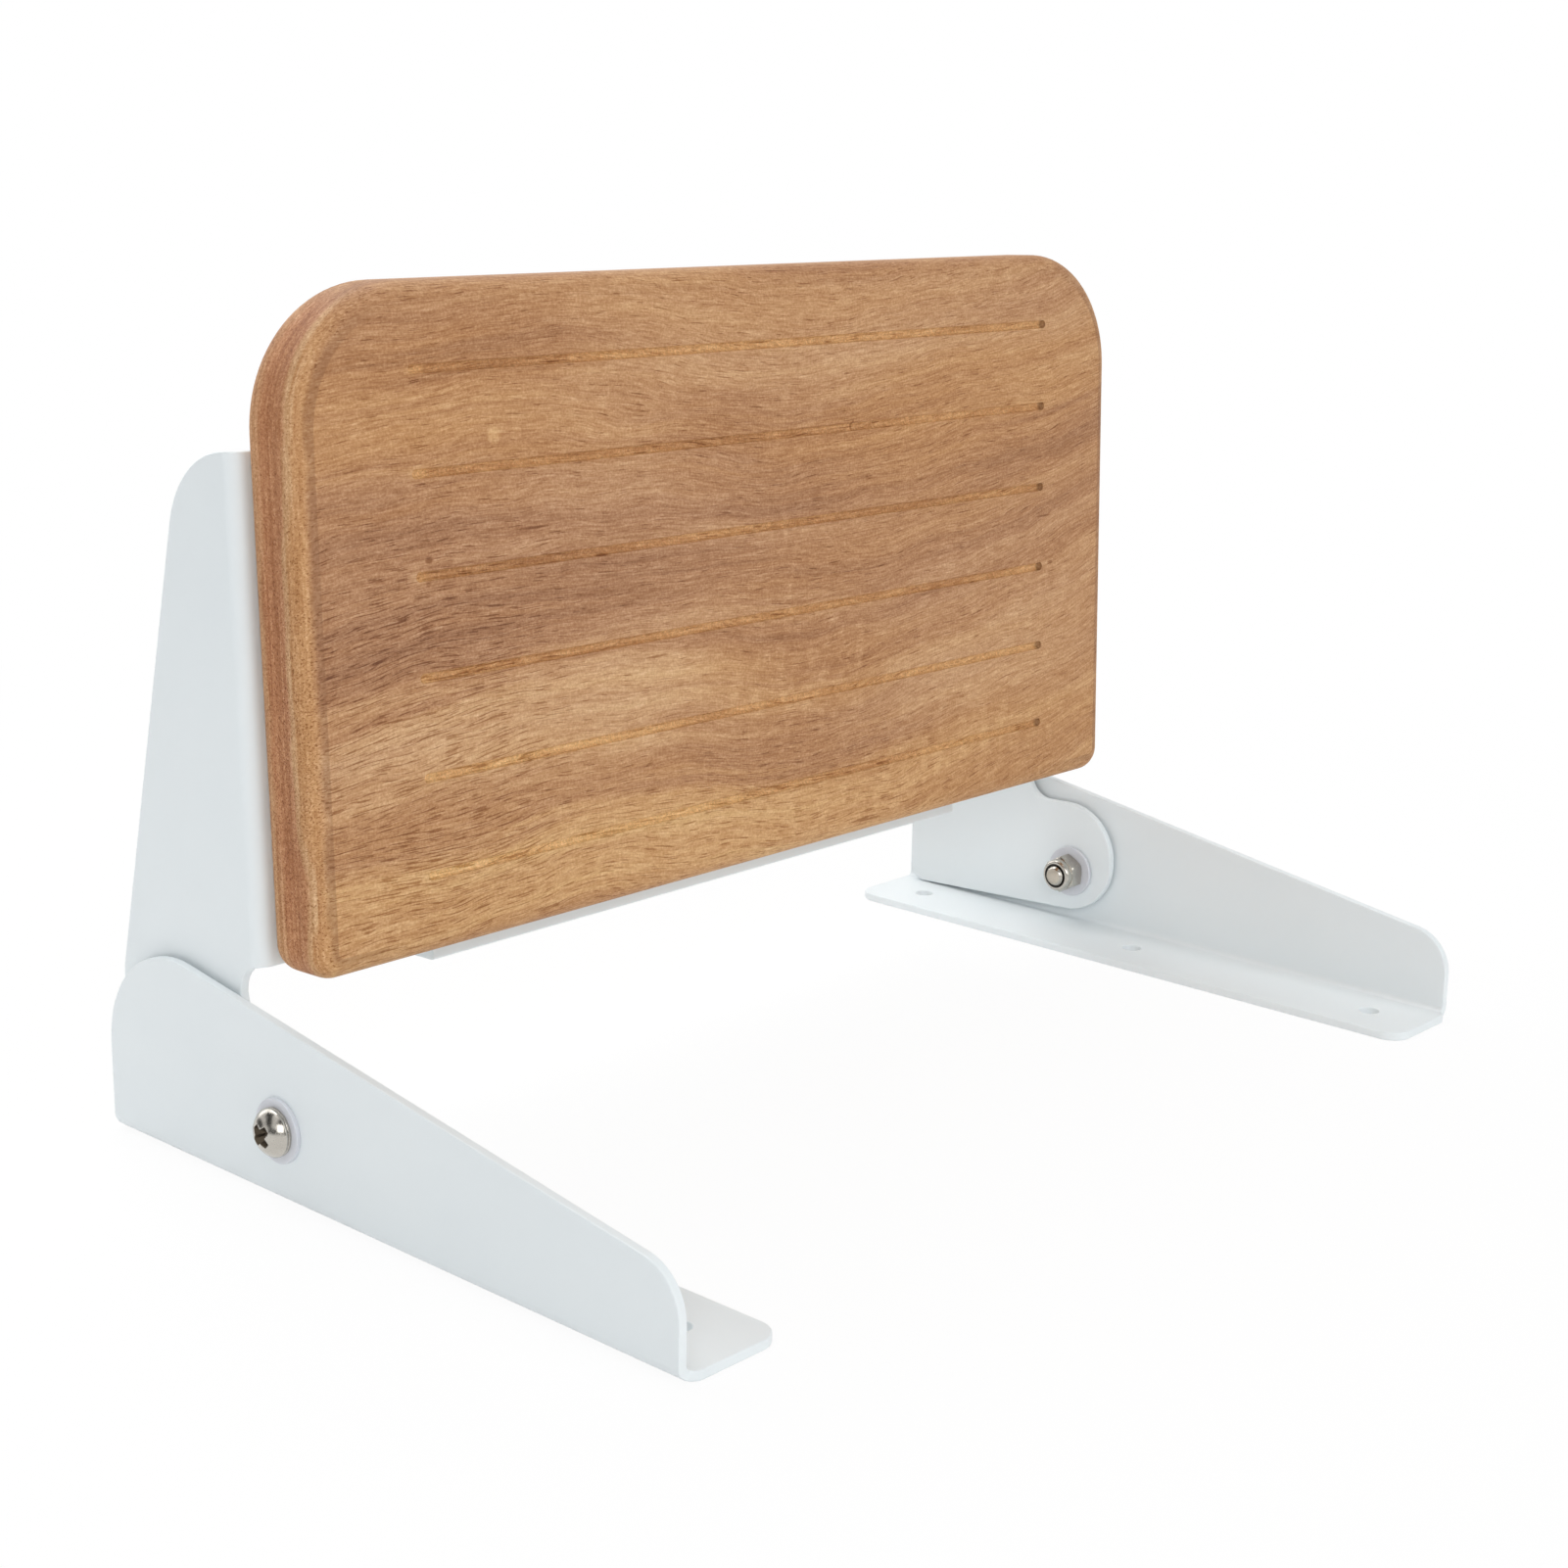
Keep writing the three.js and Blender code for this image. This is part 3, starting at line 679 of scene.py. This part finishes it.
def lock_nut(hand):
    low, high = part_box("right_lock_nut")
    end, seat = low[0], high[0]
    insert_low, insert_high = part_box("right_nut_insert")
    insert_radius = (insert_high[1] - insert_low[1]) / 2
    bore = insert_radius + running_gap
    inner = insert_high[0] + running_gap
    hex_end = seat - nut_hex_height
    collar_start = hex_end + collar_overlap
    collar = rounded_outline([
        (end, bore - collar_lip, collar_lip_round), (inner, bore, 0),
        (inner, pivot_hole_radius, 0), (collar_start, pivot_hole_radius, 0),
        (collar_start, collar_radius, 0), (end, collar_radius, collar_round),
    ], step=math.radians(10))
    made = hexagon_solid(seat, hex_end, pivot_hole_radius)
    turned(collar, closed=True, made=made)
    piece = finished(hand + "_lock_nut_bright", made, stainless, pivot_line, nut_sharp,
                     mirrored=hand == "left")
    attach(piece, "wall_frame")
    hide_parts(hand + "_lock_nut")

    section = rounded_outline([
        (insert_low[0], pivot_hole_radius, insert_bore_round),
        (insert_high[0], pivot_hole_radius, 0), (insert_high[0], insert_radius, 0),
        (insert_low[0], insert_radius, insert_rim_round)], step=math.radians(20))
    ring = finished(hand + "_nut_insert_dark", turned(section, closed=True), dark_nylon,
                    pivot_line, mirrored=hand == "left")
    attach(ring, "wall_frame")
    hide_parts(hand + "_nut_insert")


lock_nut("left")
lock_nut("right")


# Seat board
# One board of solid teak, sawn and planed to 25 mm, its corners bandsawn round and all its edges
# rounded over by a router. Six stopped grooves are cut in the sitting face to drain water.

board_width = 386 * MM
board_depth = 200 * MM
board_middle = board_from_pivot + board_depth / 2
board_round_over = 7.5 * MM
board_corner_outer = 42 * MM
board_corner_inner = 9 * MM
board_sharp = 50
groove_pitch = 30 * MM
groove_length = 303 * MM
groove_radius = 1.5 * MM
groove_depth = 1.4 * MM
grooves_from_middle = (-2.5, -1.5, -0.5, 0.5, 1.5, 2.5)
board_centre = seat_frame @ Vector((0, board_thickness / 2 - face_before_pivot, board_middle))


def board_place(tree):
    """Where a point lies on the board, in mm from its centre, with x along it, y through it and z
    up it, and which way the surface faces there."""
    place = add(tree, "TexCoord")
    centred = add(tree, "VectorMath", {0: place.outputs["Object"], 1: board_centre},
                  operation="SUBTRACT")
    upright = add(tree, "VectorRotate", {"Vector": centred, "Angle": seat_lean},
                  rotation_type="X_AXIS")
    point = add(tree, "VectorMath", {0: upright, "Scale": 1 / MM}, operation="SCALE")
    facing = add(tree, "VectorRotate", {"Vector": place.outputs["Normal"], "Angle": seat_lean},
                 rotation_type="X_AXIS")
    return point, facing


def stretched(tree, where, sizes, detail=2.0, rough=0.6):
    """Noise whose humps measure so many mm along x, y and z."""
    scaled = add(tree, "VectorMath", {0: where, 1: [1 / size for size in sizes]},
                 operation="MULTIPLY")
    return add(tree, "TexNoise", {"Vector": scaled, "Scale": 1.0, "Detail": detail,
               "Roughness": rough})


def streaks(tree, run, length, width, detail=3.0, rough=0.55):
    """Noise in streaks along the grain, so long and so wide in mm."""
    return stretched(tree, run, (length, width, width), detail, rough)


def patch(tree, where, centre_x, centre_z, half_length, half_height, inner=0.4, outer=1.25):
    """1 in the middle of an ellipse on the face, sized in mm, fading to 0 past its edge."""
    reach = add(tree, "VectorMath", {0: where, 1: (1 / half_length, 0, 1 / half_height),
                2: (-centre_x / half_length, 0, -centre_z / half_height)},
                operation="MULTIPLY_ADD")
    length = add(tree, "VectorMath", {0: reach}, operation="LENGTH").outputs["Value"]
    return add(tree, "MapRange", {0: length, 1: inner, 2: outer, 3: 1.0, 4: 0.0},
               interpolation_type="SMOOTHSTEP")


def summed(tree, value, where, patches):
    """The value with the change of every patch (change, its ellipse) added."""
    for change, *ellipse in patches:
        value = add(tree, "Math", {0: patch(tree, where, *ellipse), 1: change, 2: value},
                    operation="MULTIPLY_ADD")
    return value


def set_stops(ramp, stops):
    """Gives a colour ramp its stops (place, colour)."""
    elements = ramp.color_ramp.elements
    while len(elements) < len(stops):
        elements.new(0.5)
    for element, (position, shade) in zip(elements, stops):
        element.position = position
        element.color = linear(shade)


def grain_height(tree, x):
    """How far the grain rises or dips, in mm, at a place along the board."""
    share = add(tree, "MapRange", {0: x, 1: -200.0, 2: 200.0})
    curve = add(tree, "FloatCurve", {"Value": share})
    line = curve.mapping.curves[0]
    places = ((0.0, 0.2), (0.22, 0.42), (0.4, 0.3), (0.56, 0.16), (0.75, 0.36), (1.0, 1.0))
    while len(line.points) < len(places):
        line.points.new(0.5, 0.5)
    for point, place in zip(line.points, places):
        point.location = place
    curve.mapping.update()
    return add(tree, "Math", {0: curve, 1: 28.0, 2: -18.0}, operation="MULTIPLY_ADD")


def along_grain(tree, point, wander, wave):
    """The board's coordinates laid along its lines of grain, which rise and dip along the board
    and wander a few millimetres."""
    x, y, z = add(tree, "SeparateXYZ", {0: point}).outputs
    height = add(tree, "Math", {0: wander, 1: 18.0, 2: grain_height(tree, x)},
                 operation="MULTIPLY_ADD")
    height = add(tree, "Math", {0: wave, 1: 2.4, 2: height}, operation="MULTIPLY_ADD")
    across = add(tree, "Math", {0: z, 1: height}, operation="SUBTRACT")
    return add(tree, "CombineXYZ", {0: x, 1: y, 2: across})


def ragged_edges(tree, run):
    """The same shifted up and down by long streaks, so that a patch drawn there frays out along
    the grain."""
    fray = 34.0
    x, y, across = add(tree, "SeparateXYZ", {0: run}).outputs
    ragged = add(tree, "Math", {0: streaks(tree, run, 70, 6), 1: fray, 2: across},
                 operation="MULTIPLY_ADD")
    ragged = add(tree, "Math", {0: ragged, 1: fray / 2}, operation="SUBTRACT")
    return add(tree, "CombineXYZ", {0: x, 1: y, 2: ragged})


def heartwood(tree, run, frayed, point):
    """The colour of the bands: heartwood is darker and pinker, the newer wood beside it paler."""
    tone = add(tree, "Math", {0: streaks(tree, run, 260, 9), 1: 0.75, 2: -0.125},
               operation="MULTIPLY_ADD")
    tone = add(tree, "Math", {0: streaks(tree, run, 120, 1.8, 3.0, 0.6), 1: 0.5, 2: tone},
               operation="MULTIPLY_ADD")
    tone = summed(tree, tone, frayed, (
        (-0.19, -130, 4, 110, 34),
        (-0.12, 60, 14, 130, 32),
        (-0.14, 160, 22, 60, 12),
        (0.26, -100, -36, 120, 20),
        (0.14, 120, -52, 70, 22),
        (0.12, 10, 72, 100, 14),
        (-0.16, -160, 80, 80, 20),
        # Paler along the lower edge: partly the wood's own band, partly painted light from the
        # white floor below.
        (0.23, -60, -84, 190, 20),
    ))
    # A pin knot, the pale left-hand ends of the grooves and three broad shades
    tone = summed(tree, tone, point, (
        (0.32, -119.8, 54, 2.6, 2.6, 0.5, 1.3),
        (0.2, -149, 75, 5, 2.2), (0.2, -149, 45, 5, 2), (0.25, -150, 15, 5, 2.5),
        (0.2, -149, -15, 4, 2.5), (0.15, -149, -45, 5, 2), (0.15, -149, -75, 5, 2),
        (-0.1, 0, 42, 60, 26), (-0.08, 0, -38, 55, 26), (-0.06, -130, 82, 60, 14),
    ))
    ramp = add(tree, "ValToRGB", {0: tone})
    set_stops(ramp, ((0.15, "#9b6e4d"), (0.38, "#ae805b"), (0.55, "#bb8f68"), (0.75, "#c89f77"),
                     (0.95, "#d4b087")))
    return ramp


def oiled(tree, colour, run, frayed, more, tint):
    """Oil colours some bands more golden than others, and a routed surface nearly all over. The
    broad pale golden band along the lower edge is partly the wood's own and partly painted light
    from the white floor below.
    """
    gold = add(tree, "Math", {0: streaks(tree, run, 180, 18, 2.0), 1: 1.4, 2: -0.32},
               operation="MULTIPLY_ADD")
    gold = summed(tree, gold, frayed, (
        # Golden along the whole lower edge: partly the wood's own, partly painted light from the
        # white floor below.
        (0.85, 0, -88, 300, 28),
        (0.45, -150, 62, 70, 26),
        (0.4, 0, 48, 160, 9),
        (-0.3, -110, 8, 130, 40),
        (0.5, 110, 42, 110, 28),
        (0.3, 10, -34, 60, 34),
    ))
    gold = add(tree, "Math", {0: gold, 1: more}, operation="ADD", use_clamp=True)
    golden = add(tree, "VectorMath", {0: colour, 1: tint}, operation="MULTIPLY")
    return add(tree, "Mix", {"Factor": gold, "A": colour, "B": golden},
               data_type="RGBA").outputs["Result"]


def end_grain(tree, colour, point, facing, wander, rings):
    """End grain shows the growth rings edge on, as lines along the end: a red-brown streak of
    heartwood, a pale line in front of it, and tan towards the face. Gives its share as well."""
    y = add(tree, "SeparateXYZ", {0: point}).outputs[1]
    sway = add(tree, "Math", {0: wander, 1: 14.0, 2: y}, operation="MULTIPLY_ADD")
    sway = add(tree, "Math", {0: rings, 1: 3.0, 2: sway}, operation="MULTIPLY_ADD")
    depth = add(tree, "MapRange", {0: sway, 1: -4.0, 2: 21.0})
    ramp = add(tree, "ValToRGB", {0: depth})
    set_stops(ramp, ((0.04, "#c19160"), (0.16, "#bf8f60"), (0.2, "#c79e73"), (0.25, "#c0946a"),
                     (0.285, "#b17b54"), (0.4, "#aa7148"), (0.6, "#b4794e"), (0.7, "#bd8b60"),
                     (0.97, "#c39262")))
    end_on = add(tree, "SeparateXYZ", {0: facing}).outputs[0]
    end_on = add(tree, "Math", {0: end_on}, operation="ABSOLUTE")
    share = add(tree, "MapRange", {0: end_on, 1: 0.3, 2: 0.6, 3: 0.0, 4: 0.9})
    colour = add(tree, "Mix", {"Factor": share, "A": colour, "B": ramp}, data_type="RGBA")
    return colour.outputs["Result"], share


def browned(tree, colour, layers):
    """Takes the wood towards brown by the depths of its layers of detail, added up. A layer's
    source goes from low to high while its depth goes from at_low to at_high, times its share.
    Less than 0 makes the wood paler."""
    brown = 0.0
    for source, low, high, at_low, at_high, share in layers:
        layer = add(tree, "MapRange", {0: source, 1: low, 2: high, 3: at_low, 4: at_high})
        brown = add(tree, "Math", {0: layer, 1: share, 2: brown}, operation="MULTIPLY_ADD")
    deeper = add(tree, "Math", {0: brown, 1: 1.15, 2: 1.0}, operation="MULTIPLY_ADD")
    darker = add(tree, "Math", {0: brown, 1: -0.6, 2: 1.0}, operation="MULTIPLY_ADD")
    colour = add(tree, "Gamma", {"Color": colour, "Gamma": deeper})
    return add(tree, "VectorMath", {0: colour, "Scale": darker.outputs[0]}, operation="SCALE")


def crease_shade_line(tree, colour, point, facing, wave):
    """A painted shade: a brown line where the rounding meets the face, strongest at the ends of the
    board and faint along the long edges."""
    turn = add(tree, "SeparateXYZ", {0: facing}).outputs[1]
    turn = add(tree, "Math", {0: turn}, operation="ABSOLUTE")
    wavy_turn = add(tree, "Math", {0: wave, 1: 0.3, 2: turn}, operation="MULTIPLY_ADD")
    outside = add(tree, "MapRange", {0: wavy_turn, 1: 1.0, 2: 1.14}, interpolation_type="SMOOTHSTEP")
    inside = add(tree, "MapRange", {0: turn, 1: 1.0, 2: 0.996}, interpolation_type="SMOOTHSTEP")
    line = add(tree, "Math", {0: outside, 1: inside}, operation="MULTIPLY")
    out = add(tree, "SeparateXYZ", {0: point}).outputs[0]
    out = add(tree, "Math", {0: out}, operation="ABSOLUTE")
    ends = add(tree, "MapRange", {0: out, 1: 160.0, 2: 182.0, 3: 0.04, 4: 0.4})
    line = add(tree, "Math", {0: line, 1: ends}, operation="MULTIPLY")
    return add(tree, "Mix", {"Factor": line, "A": colour, "B": linear("#7d5233")},
               data_type="RGBA").outputs["Result"]


def fur_and_painted_light(tree, colour, point):
    """The bit leaves torn fibres 0.7 mm apart, drawn as painted highlights that also brighten the
    whole groove against its own shade, and scorches the wood where it stops at the grooves'
    right-hand ends."""
    fur_light = stretched(tree, point, (0.7, 0.7, 0.7))
    fur_light = add(tree, "MapRange", {0: fur_light, 1: 0.3, 2: 0.7, 3: 0.95, 4: 1.4})
    colour = add(tree, "VectorMath", {0: colour, "Scale": fur_light}, operation="SCALE")
    x = add(tree, "SeparateXYZ", {0: point}).outputs[0]
    scorch = add(tree, "MapRange", {0: x, 1: 148.6, 2: 150.2, 3: 0.0, 4: 0.6})
    return add(tree, "Mix", {"Factor": scorch, "A": colour, "B": linear("#5f3a1c")},
               data_type="RGBA").outputs["Result"]


def planed_teak(name, routed=False):
    """Teak, oiled once and dry: matt, IOR 1.45, tan with pinker and more golden bands where the saw
    has met the growth rings, fibres half a millimetre wide, dark pores a centimetre long, a ripple
    where the grain waves, and a few drying checks. Planed, it has a painted shade line where its
    rounding meets the face. Where a router has cut across it, the wood is more golden and furred,
    with painted highlights that brighten it."""
    material, tree = new_material(name)
    point, facing = board_place(tree)
    wander = stretched(tree, point, (120, 60, 50), rough=0.5)
    wave = stretched(tree, point, (30, 20, 12), rough=0.5)
    run = along_grain(tree, point, wander, wave)
    frayed = ragged_edges(tree, run)

    # The layers of detail: fibres, sanding marks, raised and bleached fibres, a ripple, the mottle
    # of the rays, pores, drying checks and growth rings. Patches say where some are strongest.
    fibres = streaks(tree, run, 7, 0.55, 4.0, 0.7)
    sanded = stretched(tree, point, (0.9, 0.9, 0.9))
    raised = stretched(tree, point, (2.2, 2.2, 2.2))
    flecks = streaks(tree, run, 3, 0.5, 1.0, 0.5)
    ribbon = streaks(tree, run, 46, 2.4, 2.0, 0.5)
    figure = summed(tree, 0.15, frayed, ((0.85, -75, 8, 90, 34),))
    mottle = stretched(tree, point, (4.5, 8, 9))
    rays = summed(tree, 0.15, point, ((0.8, 20, -38, 48, 26), (0.5, 90, -78, 80, 18),
                                      (0.4, 120, -20, 50, 30), (0.6, 8, 25, 9, 55)))
    crowded = summed(tree, 0.0, point, ((0.08, -150, -30, 60, 70), (0.05, -40, -85, 180, 30)))
    pores = add(tree, "Math", {0: streaks(tree, run, 9, 0.5, 2.0, 0.4), 1: crowded},
                operation="SUBTRACT")
    checks = summed(tree, 0.0, point, (
        (1.0, -105.5, 25.2, 8, 0.5), (1.0, -77, 13.6, 3, 0.4), (1.0, -54, -21.5, 5, 0.45),
        (0.8, 42.8, 45.6, 0.6, 2.2), (0.7, 152, 4, 5, 0.4), (0.8, -160, -26, 9, 0.4),
        (1.0, -146.4, 19.6, 1.5, 1.3), (0.6, -147, 12.5, 1, 0.8),
    ))
    rings = stretched(tree, point, (9, 1.1, 38), 3.0)

    colour = heartwood(tree, run, frayed, point)
    if routed:
        colour = oiled(tree, colour, run, frayed, 0.9, (0.965, 0.945, 0.76))
    else:
        colour = oiled(tree, colour, run, frayed, 0.0, (1.02, 0.97, 0.8))
    colour, end_share = end_grain(tree, colour, point, facing, wander, rings)
    colour = browned(tree, colour, (
        (fibres, 0.28, 0.72, 0.18, -0.16, 1.0),
        (sanded, 0.3, 0.7, 0.1, -0.1, 1.0),
        (raised, 0.3, 0.7, 0.03, -0.03, 1.0),
        (flecks, 0.68, 0.76, 0.0, -0.09, 1.0),
        (ribbon, 0.32, 0.68, 0.045, -0.048, figure),
        (mottle, 0.47, 0.62, 0.035, -0.065, rays),
        (pores, 0.31, 0.36, 0.34, 0.0, 1.0),
        (checks, 0.0, 1.0, 0.0, 0.38, 1.0),
        (rings, 0.3, 0.7, 0.16, -0.14, end_share),
    ))
    if routed:
        # Fur drawn as painted highlights, which brighten the groove against its shade.
        colour = fur_and_painted_light(tree, colour, point)
    else:
        # A painted shade line where the rounding meets the face.
        colour = crease_shade_line(tree, colour, point, facing, wave)

    relief = add(tree, "MapRange", {0: pores, 1: 0.29, 2: 0.37, 3: -0.5, 4: 0.0})
    relief = add(tree, "Math", {0: fibres, 1: 0.8, 2: relief}, operation="MULTIPLY_ADD")
    bump = add(tree, "Bump", {"Height": relief, "Strength": 0.7, "Distance": 0.2 * MM})
    rough = add(tree, "MapRange", {0: fibres, 1: 0.3, 2: 0.7, 3: 0.72, 4: 0.58})
    shader = add(tree, "BsdfPrincipled", {"Base Color": colour, "Roughness": rough, "IOR": 1.45,
                 "Normal": bump})
    add(tree, "OutputMaterial", {"Surface": shader})
    return material


def board_outline(inset, depth):
    """The board's outline, drawn in by an inset, at a depth behind the pivot line."""
    half = board_width / 2 - inset
    low = board_from_pivot + inset
    high = board_from_pivot + board_depth - inset
    inner = board_corner_inner - inset
    outer = board_corner_outer - inset
    corners = [(-half, low, inner), (half, low, inner), (half, high, outer), (-half, high, outer)]
    return [(p.x, depth, p.y) for p in rounded_outline(corners, step=math.radians(4))]


def groove_bit(routed, height):
    """What the router's round-nosed bit takes away: a bar with ball ends, sunk in the face."""
    half = groove_length / 2 - groove_radius
    ball = [(groove_radius * math.cos(a), groove_radius * math.sin(a)) for a in quarter_turn(8)]
    bar = [(-half - along, radius) for along, radius in ball]
    bar += [(half + along, radius) for along, radius in reversed(ball)]
    sunk = groove_depth - groove_radius - face_before_pivot
    return finished("groove", turned(bar, 32), routed, Matrix.Translation((0, sunk, height)))


def seat_board():
    front = -face_before_pivot
    back = front + board_thickness
    section = [(board_round_over * (1 - math.sin(a)), front + board_round_over * (1 - math.cos(a)))
               for a in quarter_turn(10)]
    section += [(inset, back + front - depth) for inset, depth in reversed(section)]
    made = loft([board_outline(inset, depth) for inset, depth in section])
    board = finished("board_teak", made, planed_teak("teak_planed"), sharp=board_sharp)
    routed = planed_teak("teak_routed", routed=True)
    grooves = [groove_bit(routed, board_middle + k * groove_pitch) for k in grooves_from_middle]
    combine(board, grooves, "DIFFERENCE", board_sharp)
    board.data.transform(seat_frame)
    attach(board, "seat")
    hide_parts("seat_board")


seat_board()


# Wood screws
# Nine pan-head wood screws of stainless, headed and punched like the bolts. They fix the arms and
# the rail to the back of the board. Their threads are in the wood, and are left plain.

screw_head_radius = 4 * MM
screw_head_height = 2.6 * MM
screw_head_rim = 0.6 * MM
screw_head_ease = 0.2 * MM
screw_shank_radius = 2 * MM
screw_length = 18 * MM
screw_tip = 4 * MM
screw_recess = (4.2 * MM, 1.3 * MM, 1.3 * MM)
arm_screw_line = arm_flange_inner + arm_screw_inset


def wood_screw(node, x, height):
    profile = [(-screw_length, 0), (screw_tip - screw_length, screw_shank_radius),
               (0, screw_shank_radius), (0, screw_head_radius - screw_head_ease),
               (screw_head_ease, screw_head_radius)]
    profile += dome(screw_head_rim, screw_head_height, screw_head_radius, 12)
    seat_at = frame_face + sheet_thickness + running_gap
    stand = Matrix.Translation((x, seat_at, height)) @ Matrix.Rotation(math.pi / 2, 4, "Z")
    piece = finished(node + "_bright", turned(profile, 48), stainless, stand)
    combine(piece, cross_recess(screw_head_height, *screw_recess, 0, stand), "DIFFERENCE")
    piece.data.transform(seat_frame)
    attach(piece, "seat")
    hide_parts(node)


for k in range(3):
    wood_screw(f"left_arm_screw_{k + 1}", -arm_screw_line, arm_screw_heights[k])
    wood_screw(f"right_arm_screw_{k + 1}", arm_screw_line, arm_screw_heights[k])
    wood_screw(f"rail_screw_{k + 1}", (k - 1) * rail_screw_pitch, rail_screw_height)


# Studio
# A white sweep lit by large soft lamps. To the camera the floor is nearly white paper that keeps
# only a breath of the seat's shadow, and it fades to clean white further off.

floor_size = 8.0
floor_drop = 0.2 * MM
shadow_reach = (0.3, 0.8)
shadow_white = 0.93
lamps_aim = Vector((0, 0, 100 * MM))


def white_paper():
    """Paper that the lamps light only in part: the rest of what the camera, gloss and glass see
    is plain white, nearly all of it close to the seat and all of it beyond the shadow's reach."""
    material, tree = new_material("paper_white")
    path = add(tree, "LightPath").outputs
    place = add(tree, "TexCoord").outputs["Object"]
    distance = add(tree, "VectorMath", {0: place}, operation="LENGTH").outputs["Value"]
    fade = add(tree, "MapRange", {0: distance, 1: shadow_reach[0], 2: shadow_reach[1],
               3: shadow_white, 4: 1.0}, interpolation_type="SMOOTHSTEP")
    seen = add(tree, "Math", {0: path["Is Camera Ray"], 1: path["Is Glossy Ray"]},
               operation="MAXIMUM")
    seen = add(tree, "Math", {0: seen, 1: path["Is Transmission Ray"]}, operation="MAXIMUM")
    share = add(tree, "Math", {0: seen, 1: fade}, operation="MULTIPLY")
    paper = add(tree, "BsdfDiffuse", {"Color": linear("#f6f6f6")})
    glow = add(tree, "Emission", {"Color": (1, 1, 1, 1), "Strength": 1.0})
    mix = add(tree, "MixShader", {0: share, 1: paper, 2: glow})
    add(tree, "OutputMaterial", {"Surface": mix})
    return material


def studio_floor():
    made = bmesh.new()
    bmesh.ops.create_grid(made, x_segments=4, y_segments=4, size=floor_size / 2)
    floor = finished("floor_sweep", made, white_paper(), Matrix.Translation((0, 0, -floor_drop)))


def studio_world():
    """White to the camera. All else sees a room of soft light and dark patches, with one white
    wall behind the seat on its right, which the ends of the bolts and the nuts reflect."""
    world = bpy.data.worlds.new("studio")
    bpy.context.scene.world = world
    world.use_nodes = True
    tree = world.node_tree
    tree.nodes.clear()
    place = add(tree, "TexCoord").outputs["Generated"]
    patches = add(tree, "TexNoise", {"Vector": place, "Scale": 1.7, "Detail": 0.0})
    shade = add(tree, "MapRange", {0: patches, 1: 0.42, 2: 0.56, 3: 0.02, 4: 0.85},
                interpolation_type="SMOOTHSTEP")
    behind = add(tree, "VectorMath", {0: place, 1: (0.7, 0.66, 0.27)},
                 operation="DOT_PRODUCT").outputs["Value"]
    wall = add(tree, "MapRange", {0: behind, 1: 0.72, 2: 0.86}, interpolation_type="SMOOTHSTEP")
    shade = add(tree, "Math", {0: shade, 1: wall}, operation="MAXIMUM")
    room = add(tree, "Background", {"Color": shade, "Strength": 1.0})
    white = add(tree, "Background", {"Color": (1, 1, 1, 1), "Strength": 1.0})
    camera_ray = add(tree, "LightPath").outputs["Is Camera Ray"]
    mix = add(tree, "MixShader", {0: camera_ray, 1: room, 2: white})
    add(tree, "OutputWorld", {"Surface": mix})


def softbox(name, place, size, watts):
    """A square lamp that is aimed at the seat."""
    lamp = bpy.data.lights.new(name, "AREA")
    lamp.shape = "SQUARE"
    lamp.size = size
    lamp.energy = watts
    lamp_object = bpy.data.objects.new(name, lamp)
    lamp_object.location = place
    aim = lamps_aim - Vector(place)
    lamp_object.rotation_euler = aim.to_track_quat("-Z", "Y").to_euler()
    bpy.context.scene.collection.objects.link(lamp_object)


studio_floor()
studio_world()
softbox("softbox_top", (0.1, -0.2, 2.0), 2.0, 7.5)
softbox("softbox_top_back", (0, 0.9, 1.9), 1.4, 19)
softbox("softbox_front", (0, -2.2, 0.9), 1.4, 10)
softbox("softbox_front_left", (-2.3, -2.2, 1.4), 1.7, 33.5)
softbox("softbox_back", (0, 2.2, 1.0), 1.4, 10)


# Camera
# Where the photographer stood: to the left of the seat and a little above it, less than a metre
# away. Yaw turns the camera right, pitch turns it up, and roll tips its right side up.

camera_place = Vector((-630.74, -546.93, 311.83)) * MM
camera_yaw = 0.836
camera_pitch = -0.248
camera_roll = 0.017
focal_pixels = 2640.9
frame_pixels = 1601

level_ahead = Vector((math.sin(camera_yaw), math.cos(camera_yaw), 0))
ahead = level_ahead * math.cos(camera_pitch) + Vector((0, 0, math.sin(camera_pitch)))
level_right = ahead.cross(Vector((0, 0, 1))).normalized()
level_up = level_right.cross(ahead)
right = level_right * math.cos(camera_roll) + level_up * math.sin(camera_roll)
up = level_up * math.cos(camera_roll) - level_right * math.sin(camera_roll)

camera = bpy.data.cameras.new("camera")
camera.sensor_fit = "AUTO"
camera.sensor_width = 36
camera.lens = focal_pixels / frame_pixels * camera.sensor_width
camera_object = bpy.data.objects.new("camera", camera)
rotation = Matrix((right, up, -ahead)).transposed().to_4x4()
camera_object.matrix_world = Matrix.Translation(camera_place) @ rotation
bpy.context.scene.collection.objects.link(camera_object)
bpy.context.scene.camera = camera_object
bpy.context.scene.view_settings.view_transform = "Standard"
